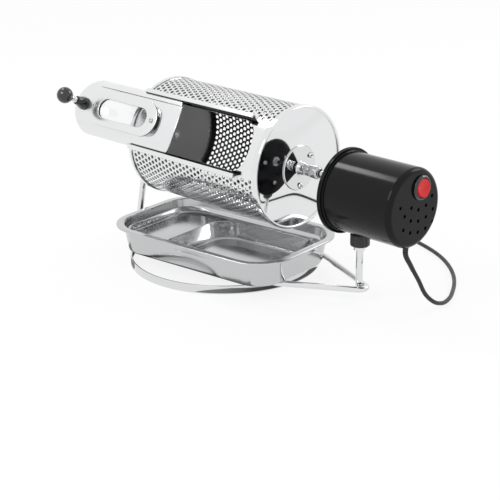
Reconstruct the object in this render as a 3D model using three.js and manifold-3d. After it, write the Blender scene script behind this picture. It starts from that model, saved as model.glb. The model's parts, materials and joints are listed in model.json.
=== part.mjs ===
// A home coffee bean roaster: a perforated steel drum with a sliding door, turned by a gear motor
// on a post. A wire stand with a hoop foot carries both, and holds a pressed catch tray.
// Lengths are in millimetres and angles in degrees. X runs along the drum, Y to the back, Z up.

import * as THREE from 'three';
import { mergeVertices } from 'three/addons/utils/BufferGeometryUtils.js';
import Module from 'manifold-3d';

const wasm = await Module();
wasm.setup();

// Clearances that all pieces share
const seat_gap = 0.3;
const running_gap = 0.5;
const cut_overrun = 3;
const merge_distance = 0.0001;

// Drum: its axis is X and its right end face lies at x = 0
const drum_diameter = 120;
const drum_length = 175;
const drum_axis_height = 112.4;
const shell_wall = 1;
const cap_wall = 1;
const right_skirt = 5;
const left_skirt = 3;
const rim_bead_width = 3;
const rim_bead_height = 1.2;
const rim_bead_crown_shares = [0.7, 0.2];
const hub_plate_diameter = 44;
const hub_plate_thickness = 1.6;
const hub_boss_diameter = 12;
const hub_boss_length = 8;
const hub_fillet = 1.6;
const hub_edge_chamfer = 0.8;
const hub_screw_circle = 36;
const hub_screw_count = 3;
const hub_screw_turn = 32;
const screw_head_diameter = 6;
const screw_head_height = 1.8;
const screw_dome_share = 0.7;
const spindle_diameter = 6;
const spindle_nut_diameter = 12;
const spindle_nut_thickness = 4;
const left_spindle_reach = 42;
const coupling_diameter = 12.5;
const coupling_length = 17;

// Punched openings: coarser than the real ones, in columns along the drum that are staggered
const opening_columns = 11;
const opening_rows = 13;
const opening_width_share = 0.84;
const opening_end_margin = 3;
const opening_corners = 6;

// Mouth of the drum, its rails and the sliding door
const door_angle = 28.2;
const mouth_left_margin = 19;
const mouth_right = 14;
const mouth_half_angle = 25.5;
const mouth_bulge = 20;
const rail_half_angle = 27.9;
const rail_web_angle = 1.7;
const rail_lip_angle = 2.9;
const rail_right_margin = 24;
const rail_sheet = 1.2;
const rail_tab_length = 8;
const rail_tab_angle = 5;
const door_length = 150;
const door_right_margin = 11;
const door_travel = 100;
const door_lift = 1.6;
const door_sheet = 1;
const door_fold = 1;
const door_fold_angle = 7;
const door_fold_setback = 21;
const door_fold_bulge = 5;
const door_fold_step_angle = 0.2;
const door_left_bulge = 24;
const door_right_bulge = 13;

// Window in the door, and the door knob
const window_center = 86;
const bezel_length = 100;
const bezel_width = 36;
const bezel_thickness = 1.6;
const window_length = 71;
const window_width = 20;
const glass_thickness = 1.2;
const glass_margin = 3;
const bezel_screw_inset = 7;
const bezel_screw_diameter = 5;
const bezel_screw_height = 1.4;
const bezel_screw_bore = 2.4;
const knob_setback = 149;
const knob_base_diameter = 14;
const knob_base_top_diameter = 9;
const knob_base_height = 11;
const knob_base_foot_share = 0.15;
const knob_base_taper_share = 0.8;
const knob_neck_diameter = 6.4;
const knob_neck_height = 8;
const knob_ball_diameter = 16.8;

// Motor head
const motor_gap = 57.8;
const motor_drop = 9.2;
const motor_diameter = 74.4;
const motor_length = 81.4;
const motor_wall = 1.8;
const motor_edge_radius = 5;
const motor_flange_diameter = 81;
const motor_flange_thickness = 1.6;
const front_cover_thickness = 2.6;
const front_cover_chamfer = 0.9;
const shaft_bush_diameter = 13;
const shaft_bush_length = 5;
const gearbox_diameter = 58;
const gearbox_length = 18;
const gearbox_bore_depth = 12;
const motor_can_diameter = 48;
const motor_can_length = 34;
const motor_can_chamfer = 2;
const cover_screw_circle = 46;
const cover_screw_count = 3;

// Switch and vents on the motor's face, and the grommet under it
const switch_side = 7.8;
const switch_rise = 18;
const switch_diameter = 23.2;
const switch_height = 3.2;
const switch_edge_share = 0.55;
const switch_slope = 1.6;
const switch_bore = 18.6;
const switch_barrel_wall = 1;
const switch_barrel_length = 16;
const rocker_thickness = 7;
const rocker_pivot_rise = 0.6;
const rocker_tilt = 8;
const vent_diameter = 3.6;
const vent_spacing = 11.2;
const vent_row_radius = 20.5;
const vent_row_pitch = 10.5;
const vent_rows = [
  { count: 4, middle: 279 },
  { count: 6, middle: 256 },
  { count: 5, middle: 267 },
];
const grommet_inset = 8.6;
const grommet_diameter = 7.6;
const grommet_flange_thickness = 1;
const grommet_neck_diameter = 5.4;
const grommet_neck_length = 5;

// Stand: it is turned a little about the right post, as the motor head was clamped
const stand_turn = 4;
const hoop_diameter = 191;
const hoop_wall = 1.5;
const hoop_height = 8.4;
const hoop_setback = 166;
const wire_diameter = 6;
const wire_half_spread = 45;
const wire_half_angle = 27;
const wire_bend_share = 0.25;
const post_diameter = 6.8;
const post_inset = 19.6;
const post_nose_gap = 0.6;
const post_nut_diameter = 11;
const post_nut_height = 4;
const clamp_knob_diameter = 18.6;
const clamp_knob_height = 12.5;
const clamp_knob_flutes = 12;
const clamp_flute_depth = 0.7;
const clamp_steps_a_flute = 4;
const nut_flats = 6;
const lock_nut_diameter = 12.4;
const lock_nut_height = 3.6;
const left_post_reach = 35.5;
const eye_diameter = 14;
const eye_length = 8;

// Catch tray: a rim, a ledge and an off-centre well inside, and an outer wall down to the foot
const tray_length = 208;
const tray_depth = 135;
const tray_height = 27.4;
const tray_setback = 150.6;
const tray_shift = 19;
const tray_turn = 1.5;
const tray_sheet = 1;
const tray_corner_radius = 30;
const tray_lip = 7;
const tray_lip_drop = 3;
const tray_wall_slope = 4;
const tray_foot_inset = 12;
const tray_ledge_height = 13;
const tray_bead = 1.4;
const tray_bead_foot_share = 0.5;
const well_left_margin = 60;
const well_right_margin = 15;
const well_front_margin = 15;
const well_back_margin = 17;
const well_slope = 9;
const well_corner_radius = 15;

// Mains lead: the free stretch is listed from the grommet's mouth
const cord_diameter = 4;
const cord_sides = 6;
const cord_steps = 64;
const cord_route = [
  [0, 0, 0],
  [0, 0, -6],
  [4, 3, -17],
  [9, 8.5, -31],
  [14, 15, -47],
  [17, 24, -55.5],
  [17, 36, -60],
  [13, 52, -61.5],
  [4, 70, -61.9],
  [-20, 104, -61.9],
  [-58, 136, -61.9],
  [-110, 158, -61.9],
  [-170, 170, -61.9],
  [-230, 172, -61.9],
  [-262, 172, -61.9],
];
const coil_outer_radius = 28;
const coil_pitch = 4.7;
const coil_layer_rise = 4.6;
const coil_turns_a_layer = 2;
const coil_steps_a_turn = 20;
const coil_sides = 6;
const coil_lead_in = 5;
const coil_tail = 25;
const plug_length = 34;
const plug_width = 26;
const plug_thickness = 12;
const plug_neck_diameter = 9;
const plug_neck_length = 10;
const plug_pin_diameter = 4;
const plug_pin_length = 19;
const plug_pin_spacing = 18.6;
const plug_corner_radius = 5;
const plug_wall = 1;

// Facets round a full turn
const drum_facets = 48;
const shell_facets = 32;
const turned_facets = 24;
const small_facets = 12;
const vent_facets = 6;
const wire_sides = 8;
const corner_steps = 6;
const arc_steps = 8;

// Colours, roughness and metalness as photographed
const polished_steel = new THREE.MeshStandardMaterial({ color: 0xd5d7d8, roughness: 0.12, metalness: 1 });
const satin_steel = new THREE.MeshStandardMaterial({ color: 0xc4c6c8, roughness: 0.35, metalness: 1 });
const chrome_wire = new THREE.MeshStandardMaterial({ color: 0xdfe1e2, roughness: 0.08, metalness: 1 });
const dark_steel = new THREE.MeshStandardMaterial({ color: 0x6d6f72, roughness: 0.4, metalness: 1 });
const brass = new THREE.MeshStandardMaterial({ color: 0xb89a4e, roughness: 0.35, metalness: 1 });
const black_gloss = new THREE.MeshStandardMaterial({ color: 0x0b0b0d, roughness: 0.12, metalness: 0 });
const black_plastic = new THREE.MeshStandardMaterial({ color: 0x141416, roughness: 0.45, metalness: 0 });
const red_plastic = new THREE.MeshStandardMaterial({ color: 0xd0201c, roughness: 0.25, metalness: 0 });
const clear_glass = new THREE.MeshStandardMaterial({ color: 0xe6eef0, roughness: 0.03, metalness: 0 });
const black_rubber = new THREE.MeshStandardMaterial({ color: 0x0e0e10, roughness: 0.6, metalness: 0 });

// Derived places of the main pieces
const drum_radius = drum_diameter / 2;
const shell_outer = drum_radius - cap_wall - seat_gap;
const shell_inner = shell_outer - shell_wall;
const rail_foot = shell_outer + seat_gap;
const door_inner = drum_radius + door_lift;
const door_outer = door_inner + door_sheet;
const rail_lip_inner = door_outer + door_fold + running_gap;
const door_half_angle = rail_half_angle - THREE.MathUtils.radToDeg(running_gap / door_outer);
const motor_radius = motor_diameter / 2;
const motor_axis_height = drum_axis_height - motor_drop;
const motor_face = motor_gap + motor_length;
const housing_left = motor_gap + front_cover_thickness + seat_gap;
const post_x = motor_gap + post_inset;
const wire_z = hoop_height + seat_gap + wire_diameter / 2;
const tray_floor_z = wire_z + wire_diameter / 2 + seat_gap;
const hub_face = seat_gap + hub_plate_thickness + hub_boss_length;

const radians = THREE.MathUtils.degToRad;

// Merged closed form of a geometry, with its faces pointing out
function closed(source) {
  const bare = source.clone();
  bare.deleteAttribute('normal');
  bare.deleteAttribute('uv');
  const merged = mergeVertices(bare, merge_distance);
  const index = merged.getIndex().array;
  const place = merged.getAttribute('position');
  const a = new THREE.Vector3();
  const b = new THREE.Vector3();
  const c = new THREE.Vector3();
  const kept = [];
  let volume = 0;
  for (let i = 0; i < index.length; i += 3) {
    const [p, q, r] = [index[i], index[i + 1], index[i + 2]];
    if (p === q || q === r || r === p) continue;
    kept.push(p, q, r);
    a.fromBufferAttribute(place, p);
    b.fromBufferAttribute(place, q);
    c.fromBufferAttribute(place, r);
    volume += a.dot(b.cross(c));
  }
  if (volume < 0) kept.reverse();
  merged.setIndex(kept);
  return merged;
}

function solid(geometry) {
  const merged = closed(geometry);
  return new wasm.Manifold(new wasm.Mesh({
    numProp: 3,
    vertProperties: new Float32Array(merged.getAttribute('position').array),
    triVerts: new Uint32Array(merged.getIndex().array),
  }));
}

function geometry_of(manifold) {
  const mesh = manifold.getMesh();
  const geometry = new THREE.BufferGeometry();
  geometry.setAttribute('position', new THREE.BufferAttribute(new Float32Array(mesh.vertProperties), 3));
  geometry.setIndex([...mesh.triVerts]);
  return geometry;
}

function cut(body, tools) {
  return geometry_of(tools.reduce((left, tool) => left.subtract(solid(tool)), solid(body)));
}

function joined(pieces) {
  return geometry_of(pieces.slice(1).reduce((sum, next) => sum.add(solid(next)), solid(pieces[0])));
}

function common(first, second) {
  return geometry_of(solid(first).intersect(solid(second)));
}

// Turned form about Z from [radius, height] points. A profile off the axis is closed on itself.
function turned(profile, facets) {
  const points = profile.map(([radius, height]) => new THREE.Vector2(radius, height));
  const off_axis = profile[0][0] > 0 || profile[profile.length - 1][0] > 0;
  if (off_axis) points.push(points[0].clone());
  const geometry = new THREE.LatheGeometry(points, facets);
  geometry.rotateX(Math.PI / 2);
  return closed(geometry);
}

// The same about X: heights run along +X
function turned_x(profile, facets) {
  return turned(profile, facets).rotateY(Math.PI / 2);
}

// Flat outline in X and Y, drawn up along Z from a level
function raised(outline, level, height, steps = arc_steps) {
  const geometry = new THREE.ExtrudeGeometry(outline, {
    depth: height, bevelEnabled: false, curveSegments: steps,
  });
  return closed(geometry).translate(0, 0, level);
}

// Outline in Y and Z, drawn along X from a place
function along_x(outline, start, length, steps = arc_steps) {
  const turn = new THREE.Matrix4().makeBasis(
    new THREE.Vector3(0, 1, 0), new THREE.Vector3(0, 0, 1), new THREE.Vector3(1, 0, 0),
  );
  return raised(outline, 0, length, steps).applyMatrix4(turn).translate(start, 0, 0);
}

// Long outline with bowed ends, between two places along X
function bowed(left, right, half_width, left_bulge, right_bulge) {
  const shape = new THREE.Shape();
  shape.moveTo(left + left_bulge, -half_width);
  shape.lineTo(right - right_bulge, -half_width);
  shape.absellipse(right - right_bulge, 0, right_bulge, half_width, -Math.PI / 2, Math.PI / 2, false);
  shape.lineTo(left + left_bulge, half_width);
  shape.absellipse(left + left_bulge, 0, left_bulge, half_width, Math.PI / 2, 3 * Math.PI / 2, false);
  return shape;
}

// Outline in Y and Z between two radii, its angles counted from straight up
function sector(inner, outer, from, to) {
  const shape = new THREE.Shape();
  shape.absarc(0, 0, outer, radians(90 - to), radians(90 - from), false);
  shape.absarc(0, 0, inner, radians(90 - from), radians(90 - to), true);
  return shape;
}

// Curve through listed stations, so that a tube has a ring at each and nowhere else
class Stations extends THREE.Curve {
  constructor(points, loops) {
    super();
    this.points = points;
    this.loops = loops;
  }

  place(index) {
    const count = this.points.length;
    if (this.loops) return this.points[((index % count) + count) % count];
    return this.points[Math.min(Math.max(index, 0), count - 1)];
  }

  getPoint(t, target = new THREE.Vector3()) {
    const spans = this.loops ? this.points.length : this.points.length - 1;
    return target.copy(this.place(Math.round(t * spans)));
  }

  getPointAt(u, target) {
    return this.getPoint(u, target);
  }

  getTangentAt(u, target = new THREE.Vector3()) {
    const spans = this.loops ? this.points.length : this.points.length - 1;
    const index = Math.round(u * spans);
    const here = this.place(index);
    const before = here.clone().sub(this.place(index - 1)).normalize();
    const after = this.place(index + 1).clone().sub(here).normalize();
    return target.copy(before).add(after).normalize();
  }
}

function piece(name, geometry, material) {
  const shown = geometry.toNonIndexed();
  shown.computeVertexNormals();
  const mesh = new THREE.Mesh(closed(shown), material);
  mesh.name = name;
  return mesh;
}

function group_of(parts, place = [0, 0, 0]) {
  const group = new THREE.Group();
  group.position.set(...place);
  group.add(...parts);
  return group;
}

// Screw: a domed head, its seat at height 0, and its shank if that goes through an open gap
function screw(name, head_diameter, head_height, shank_diameter, shank_length) {
  const head = head_diameter / 2;
  const shank = shank_diameter / 2;
  return piece(name, turned([
    [0, -shank_length], [shank, -shank_length], [shank, 0], [head, 0],
    [head, head_height / 2], [head * screw_dome_share, head_height], [0, head_height],
  ], small_facets), satin_steel);
}

// Drum shell: rolled sheet, the mouth facing up, with a staggered grid of openings round the rest.
// Each opening lies in one flat of the shell.
function drum_shell() {
  const left = cap_wall + seat_gap - drum_length;
  const right = -cap_wall - seat_gap;
  const flat_turn = Math.PI / shell_facets;
  const tube = turned_x([
    [shell_inner, left], [shell_outer, left], [shell_outer, right], [shell_inner, right],
  ], shell_facets).rotateX(flat_turn);
  const half_width = shell_outer * Math.sin(radians(mouth_half_angle));
  const mouth = bowed(mouth_left_margin - drum_length, -mouth_right, half_width, mouth_bulge, mouth_bulge);
  const half_opening = shell_inner * Math.sin(flat_turn) * opening_width_share;
  const corner = half_opening / Math.cos(Math.PI / opening_corners);
  const opening = turned([
    [0, shell_inner - cut_overrun], [corner, shell_inner - cut_overrun],
    [corner, shell_outer + cut_overrun], [0, shell_outer + cut_overrun],
  ], opening_corners);
  const first = left + left_skirt + opening_end_margin + corner;
  const last = right - right_skirt - opening_end_margin - corner;
  const openings = [];
  for (let column = 0; column < opening_columns; column++) {
    const x = first + (last - first) * column / (opening_columns - 1);
    const shift = column % 2;
    for (let row = 0; row < opening_rows - shift; row++) {
      const place = row + (1 + shift - opening_rows) / 2;
      openings.push(opening.clone().rotateX(Math.PI + 4 * flat_turn * place).translate(x, 0, 0));
    }
  }
  return piece('drum_shell', cut(tube, [raised(mouth, 0, drum_radius), ...openings]), satin_steel);
}

// End cap: a pressed disc with a skirt over the shell and a rolled bead at its edge
function end_cap(name, skirt) {
  const bore = spindle_diameter / 2 + running_gap;
  const crown = rim_bead_crown_shares.map(
    (share) => [drum_radius - rim_bead_width * share, rim_bead_height],
  );
  return piece(name, turned_x([
    [bore, 0], [drum_radius - rim_bead_width, 0], ...crown,
    [drum_radius, -skirt], [drum_radius - cap_wall, -skirt],
    [drum_radius - cap_wall, -cap_wall], [bore, -cap_wall],
  ], drum_facets), polished_steel);
}

// Hub plate: a flange screwed to the cap, with a boss round the spindle
function hub_plate(name) {
  const plate = hub_plate_diameter / 2;
  const boss = hub_boss_diameter / 2;
  const bore = spindle_diameter / 2 + seat_gap;
  const top = hub_plate_thickness + hub_boss_length;
  const body = turned_x([
    [bore, 0], [plate, 0], [plate, hub_plate_thickness - hub_edge_chamfer],
    [plate - hub_edge_chamfer, hub_plate_thickness],
    [boss + hub_fillet, hub_plate_thickness], [boss, hub_plate_thickness + hub_fillet],
    [boss, top - hub_edge_chamfer], [boss - hub_edge_chamfer, top], [bore, top],
  ], turned_facets);
  return piece(name, body, polished_steel);
}

function hub_screws(side) {
  return Array.from({ length: hub_screw_count }, (_, i) => {
    const angle = radians(hub_screw_turn + i * 360 / hub_screw_count);
    const mesh = screw(`${side}_hub_screw_${i + 1}`, screw_head_diameter, screw_head_height, 0, 0);
    mesh.rotation.y = Math.PI / 2;
    mesh.position.set(
      seat_gap * 2 + hub_plate_thickness,
      hub_screw_circle / 2 * Math.cos(angle),
      hub_screw_circle / 2 * Math.sin(angle),
    );
    return mesh;
  });
}

// Nut: six flats round a bore, from a level upwards
function hex_nut(name, diameter, bore, height) {
  const shape = new THREE.Shape();
  for (let i = 0; i < nut_flats; i++) {
    const angle = 2 * Math.PI * i / nut_flats;
    const point = [diameter / 2 * Math.cos(angle), diameter / 2 * Math.sin(angle)];
    if (i === 0) shape.moveTo(...point);
    else shape.lineTo(...point);
  }
  shape.closePath();
  const hole = new THREE.Path();
  hole.absarc(0, 0, bore / 2, 0, 2 * Math.PI, true);
  shape.holes.push(hole);
  return piece(name, raised(shape, 0, height), satin_steel);
}

function rod_x(name, diameter, left, right, material) {
  const radius = diameter / 2;
  return piece(name, turned_x([
    [0, left], [radius, left], [radius, right], [0, right],
  ], small_facets), material);
}

// One end of the drum, its outer face at x = 0 and facing +X
function drum_end(side, skirt) {
  const bore = spindle_diameter + 2 * seat_gap;
  const nut = hex_nut(`${side}_spindle_nut`, spindle_nut_diameter, bore, spindle_nut_thickness);
  nut.rotation.y = Math.PI / 2;
  nut.position.x = -cap_wall - seat_gap - spindle_nut_thickness;
  const plate = hub_plate(`${side}_hub_plate`);
  plate.position.x = seat_gap;
  return [end_cap(`${side}_end_cap`, skirt), plate, nut, ...hub_screws(side)];
}

// Rail: a web that stands on the shell, a lip over the door's edge and a tab at the right end.
// It is drawn on the +Y side and mirrored for the other.
function door_rail(name, side) {
  const left = left_skirt + seat_gap - drum_length;
  const web_to = rail_half_angle + rail_web_angle;
  const lip_from = rail_half_angle - rail_lip_angle;
  const outer = rail_lip_inner + rail_sheet;
  const length = -rail_right_margin - left;
  const section = new THREE.Shape();
  section.absarc(0, 0, outer, radians(90 - web_to), radians(90 - lip_from), false);
  section.absarc(0, 0, rail_lip_inner, radians(90 - lip_from), radians(90 - rail_half_angle), true);
  section.absarc(0, 0, rail_foot, radians(90 - rail_half_angle), radians(90 - web_to), true);
  const web_middle = (rail_half_angle + web_to) / 2;
  const tab_foot = rail_foot + seat_gap / 2;
  const tab = along_x(
    sector(tab_foot, tab_foot + rail_sheet, web_middle, web_to + rail_tab_angle),
    -rail_right_margin - rail_tab_length, rail_tab_length - seat_gap / 2, 1,
  );
  const rail = joined([along_x(section, left, length, 1), tab]);
  return piece(name, closed(rail.scale(1, side, 1)), satin_steel);
}

// Door panel: curved sheet with bowed ends, its top edge folded over, and a window hole
function door_panel() {
  const left = -door_right_margin - door_length;
  const half = door_half_angle;
  const fold_outer = door_outer + door_fold;
  const fold_from = half - door_fold_angle;
  const fold_to = half - door_fold_step_angle;
  const fold_left = left + door_fold_setback;
  const sheet = along_x(sector(door_inner, door_outer, -half, half), left, door_length, arc_steps);
  const strip = along_x(
    sector(door_inner + door_sheet / 2, fold_outer, fold_from, fold_to),
    fold_left, door_length - door_fold_setback, corner_steps / 2,
  );
  const fold_low = fold_outer * Math.sin(radians(fold_from));
  const fold_high = fold_outer * Math.sin(radians(half)) + cut_overrun;
  const fold_outline = bowed(
    fold_left, cut_overrun, (fold_high - fold_low) / 2, door_fold_bulge, cut_overrun,
  );
  const fold_area = raised(fold_outline, 0, drum_diameter).translate(0, (fold_low + fold_high) / 2, 0);
  const half_width = fold_outer * Math.sin(radians(half)) + seat_gap;
  const outline = bowed(left, -door_right_margin, half_width, door_left_bulge, door_right_bulge);
  const hole = bowed(
    -window_center - window_length / 2, -window_center + window_length / 2,
    window_width / 2, window_width / 2, window_width / 2,
  );
  const screw_holes = [-1, 1].map((side) => turned([
    [0, 0], [bezel_screw_bore / 2 + seat_gap, 0],
    [bezel_screw_bore / 2 + seat_gap, drum_diameter], [0, drum_diameter],
  ], small_facets).translate(bezel_screw_x(side), 0, 0));
  const plate = common(joined([sheet, common(strip, fold_area)]), raised(outline, 0, drum_diameter));
  return piece('door_panel', cut(plate, [raised(hole, 0, drum_diameter), ...screw_holes]), satin_steel);
}

function bezel_screw_x(side) {
  return -window_center + side * (bezel_length / 2 - bezel_screw_inset);
}

// Window: a flat pane under a flat frame that stands off the curved door
function window_pieces() {
  const pane_level = door_outer + seat_gap;
  const frame_level = pane_level + glass_thickness + seat_gap;
  const frame_top = frame_level + bezel_thickness;
  const rounded = (length, width) => bowed(
    -window_center - length / 2, -window_center + length / 2, width / 2, width / 2, width / 2,
  );
  const frame = rounded(bezel_length, bezel_width);
  frame.holes.push(rounded(window_length, window_width));
  for (const side of [-1, 1]) {
    const hole = new THREE.Path();
    hole.absarc(bezel_screw_x(side), 0, bezel_screw_bore / 2 + seat_gap, 0, 2 * Math.PI, true);
    frame.holes.push(hole);
  }
  const pane = rounded(window_length + 2 * glass_margin, window_width + 2 * glass_margin);
  const screws = [-1, 1].map((side, i) => {
    const mesh = screw(
      `bezel_screw_${i + 1}`, bezel_screw_diameter, bezel_screw_height,
      bezel_screw_bore, frame_top + seat_gap - door_inner,
    );
    mesh.position.set(bezel_screw_x(side), 0, frame_top + seat_gap);
    return mesh;
  });
  return [
    piece('window_bezel', raised(frame, frame_level, bezel_thickness), polished_steel),
    piece('window_glass', raised(pane, pane_level, glass_thickness), clear_glass),
    ...screws,
  ];
}

// Door knob: a cone foot, a neck and a ball, square to the door
function door_knob() {
  const foot = knob_base_diameter / 2;
  const top = knob_base_top_diameter / 2;
  const base_level = door_outer + seat_gap;
  const neck_level = base_level + knob_base_height + seat_gap;
  const ball_radius = knob_ball_diameter / 2;
  const ball_level = neck_level + knob_neck_height + seat_gap;
  const neck_radius = knob_neck_diameter / 2;
  const ball_start = Math.asin(neck_radius / ball_radius);
  const ball_profile = Array.from({ length: 2 * arc_steps + 1 }, (_, i) => {
    const angle = ball_start + (Math.PI - ball_start) * i / (2 * arc_steps);
    return [i === 2 * arc_steps ? 0 : ball_radius * Math.sin(angle), -ball_radius * Math.cos(angle)];
  });
  const flat = ball_profile[0][1];
  const base = piece('knob_base', turned([
    [0, base_level], [foot, base_level], [foot, base_level + knob_base_height * knob_base_foot_share],
    [top, base_level + knob_base_height * knob_base_taper_share], [top, base_level + knob_base_height],
    [0, base_level + knob_base_height],
  ], small_facets), black_plastic);
  const neck = piece('knob_neck', turned([
    [0, neck_level], [neck_radius, neck_level],
    [neck_radius, neck_level + knob_neck_height], [0, neck_level + knob_neck_height],
  ], small_facets), chrome_wire);
  const ball = piece('knob_ball', turned(
    [[0, flat], ...ball_profile], small_facets,
  ).translate(0, 0, ball_level - flat), black_gloss);
  return group_of([base, neck, ball], [-knob_setback, 0, 0]);
}

// Motor housing: a deep drawn cup, its open end flanged, with vents and a switch hole in its face
function motor_housing() {
  const inner = motor_radius - motor_wall;
  const edge = Array.from({ length: corner_steps + 1 }, (_, i) => {
    const angle = Math.PI / 2 * i / corner_steps;
    return [
      motor_radius - motor_edge_radius + motor_edge_radius * Math.cos(angle),
      motor_face - motor_edge_radius + motor_edge_radius * Math.sin(angle),
    ];
  });
  const inner_edge = motor_edge_radius - motor_wall;
  const cup = turned_x([
    [inner, housing_left], [motor_flange_diameter / 2, housing_left],
    [motor_flange_diameter / 2, housing_left + motor_flange_thickness],
    [motor_radius, housing_left + motor_flange_thickness],
    ...edge, [0, motor_face], [0, motor_face - motor_wall],
    [inner - inner_edge, motor_face - motor_wall], [inner, motor_face - motor_wall - inner_edge],
  ], drum_facets);
  const drill = (diameter, y, z, facets) => turned_x([
    [0, -cut_overrun - motor_wall], [diameter / 2, -cut_overrun - motor_wall],
    [diameter / 2, cut_overrun], [0, cut_overrun],
  ], facets).translate(motor_face, y, z);
  const vents = vent_rows.flatMap(({ count, middle }, row) => Array.from({ length: count }, (_, i) => {
    const radius = vent_row_radius + row * vent_row_pitch;
    const angle = radians(middle) + (i - (count - 1) / 2) * vent_spacing / radius;
    const y = switch_side + radius * Math.cos(angle);
    return drill(vent_diameter, y, switch_rise + radius * Math.sin(angle), vent_facets);
  }));
  const bottom_hole = (diameter, x) => turned([
    [0, -motor_radius - cut_overrun], [diameter / 2, -motor_radius - cut_overrun],
    [diameter / 2, 0], [0, 0],
  ], small_facets).translate(x, 0, 0);
  const barrel = switch_bore + 2 * switch_barrel_wall + 2 * seat_gap;
  return piece('motor_housing', cut(cup, [
    ...vents,
    drill(barrel, switch_side, switch_rise, turned_facets),
    bottom_hole(post_diameter + 2 * seat_gap, post_x),
    bottom_hole(grommet_neck_diameter + 2 * seat_gap, motor_face - grommet_inset),
  ]), black_gloss);
}

// Front cover: the disc that closes the housing, with a hole for the shaft bush above its centre
function motor_front_cover() {
  const radius = motor_flange_diameter / 2;
  const disc = turned_x([
    [0, motor_gap], [radius - front_cover_chamfer, motor_gap], [radius, motor_gap + front_cover_chamfer],
    [radius, motor_gap + front_cover_thickness], [0, motor_gap + front_cover_thickness],
  ], drum_facets);
  const hole = turned_x([
    [0, motor_gap - cut_overrun], [shaft_bush_diameter / 2 + seat_gap, motor_gap - cut_overrun],
    [shaft_bush_diameter / 2 + seat_gap, housing_left + cut_overrun], [0, housing_left + cut_overrun],
  ], turned_facets).translate(0, 0, motor_drop);
  return piece('motor_front_cover', cut(disc, [hole]), black_gloss);
}

function cover_screws() {
  return Array.from({ length: cover_screw_count }, (_, i) => {
    const angle = radians(-90 + i * 360 / cover_screw_count);
    const mesh = screw(`cover_screw_${i + 1}`, screw_head_diameter, screw_head_height, 0, 0);
    mesh.rotation.y = -Math.PI / 2;
    const circle = cover_screw_circle / 2;
    mesh.position.set(motor_gap - seat_gap, circle * Math.cos(angle), circle * Math.sin(angle));
    return mesh;
  });
}

// Gearbox and motor inside the housing. The gearbox takes the shaft in a blind bore.
function drive_pieces() {
  const gearbox_left = housing_left;
  const gearbox_right = gearbox_left + gearbox_length;
  const radius = gearbox_diameter / 2;
  const body = turned_x([
    [0, gearbox_left], [radius, gearbox_left], [radius, gearbox_right], [0, gearbox_right],
  ], turned_facets);
  const bore_radius = spindle_diameter / 2 + running_gap;
  const bore_end = gearbox_left + gearbox_bore_depth;
  const bore = turned_x([
    [0, gearbox_left - cut_overrun], [bore_radius, gearbox_left - cut_overrun],
    [bore_radius, bore_end], [0, bore_end],
  ], small_facets).translate(0, 0, motor_drop);
  const can_left = gearbox_right + seat_gap;
  const can_right = can_left + motor_can_length;
  const can_radius = motor_can_diameter / 2;
  const can = turned_x([
    [0, can_left], [can_radius, can_left], [can_radius, can_right - motor_can_chamfer],
    [can_radius - motor_can_chamfer, can_right], [0, can_right],
  ], turned_facets);
  const bush = turned_x([
    [bore_radius, 0], [shaft_bush_diameter / 2, 0],
    [shaft_bush_diameter / 2, shaft_bush_length], [bore_radius, shaft_bush_length],
  ], turned_facets).translate(housing_left - seat_gap - shaft_bush_length, 0, motor_drop);
  return [
    piece('gearbox', cut(body, [bore]), dark_steel),
    piece('motor_can', can, dark_steel),
    piece('shaft_bush', bush, brass),
  ];
}

// Switch: a bezel cup through the face, with a round rocker that rocks about its middle
function switch_bezel() {
  const bore = switch_bore / 2;
  const barrel = bore + switch_barrel_wall;
  const flange = switch_diameter / 2;
  const back = -switch_barrel_length;
  return piece('switch_bezel', turned_x([
    [0, back], [barrel, back], [barrel, seat_gap], [flange, seat_gap],
    [flange, switch_height * switch_edge_share], [flange - switch_slope, switch_height],
    [bore, switch_height], [bore, back + switch_barrel_wall], [0, back + switch_barrel_wall],
  ], turned_facets), black_plastic);
}

function rocker_switch() {
  const radius = switch_bore / 2 - seat_gap;
  const half = rocker_thickness / 2;
  const flank = Array.from({ length: corner_steps + 1 }, (_, i) => {
    const height = -half + rocker_thickness * i / corner_steps;
    return [Math.sqrt(radius * radius - height * height), height];
  });
  const disc = turned_x([[0, -half], ...flank, [0, half]], turned_facets);
  const mesh = piece('rocker_switch', disc, red_plastic);
  mesh.position.x = rocker_pivot_rise;
  mesh.rotation.y = radians(-rocker_tilt);
  return mesh;
}

// Grommet: where the mains lead leaves the housing
function cord_grommet() {
  const neck = grommet_neck_diameter / 2;
  const flange = grommet_diameter / 2;
  return piece('cord_grommet', turned([
    [0, -grommet_flange_thickness], [flange - grommet_flange_thickness / 2, -grommet_flange_thickness],
    [flange, -grommet_flange_thickness / 2], [flange, 0], [neck, 0], [neck, grommet_neck_length],
    [0, grommet_neck_length],
  ], small_facets), black_rubber);
}

// Fluted knob that clamps the motor head on the post
function clamp_knob() {
  const shape = new THREE.Shape();
  const count = clamp_knob_flutes * clamp_steps_a_flute;
  for (let i = 0; i < count; i++) {
    const angle = 2 * Math.PI * i / count;
    const flute = (1 - Math.cos(clamp_knob_flutes * angle)) / 2;
    const radius = clamp_knob_diameter / 2 - clamp_flute_depth * flute;
    const point = [radius * Math.cos(angle), radius * Math.sin(angle)];
    if (i === 0) shape.moveTo(...point);
    else shape.lineTo(...point);
  }
  shape.closePath();
  const hole = new THREE.Path();
  hole.absarc(0, 0, post_diameter / 2 + seat_gap, 0, 2 * Math.PI, true);
  shape.holes.push(hole);
  return piece('clamp_knob', raised(shape, 0, clamp_knob_height), black_plastic);
}

// Hoop foot: a flat band on edge
function base_hoop() {
  const outer = hoop_diameter / 2;
  return piece('base_hoop', turned([
    [outer - hoop_wall, 0], [outer, 0], [outer, hoop_height], [outer - hoop_wall, hoop_height],
  ], drum_facets), polished_steel);
}

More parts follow.
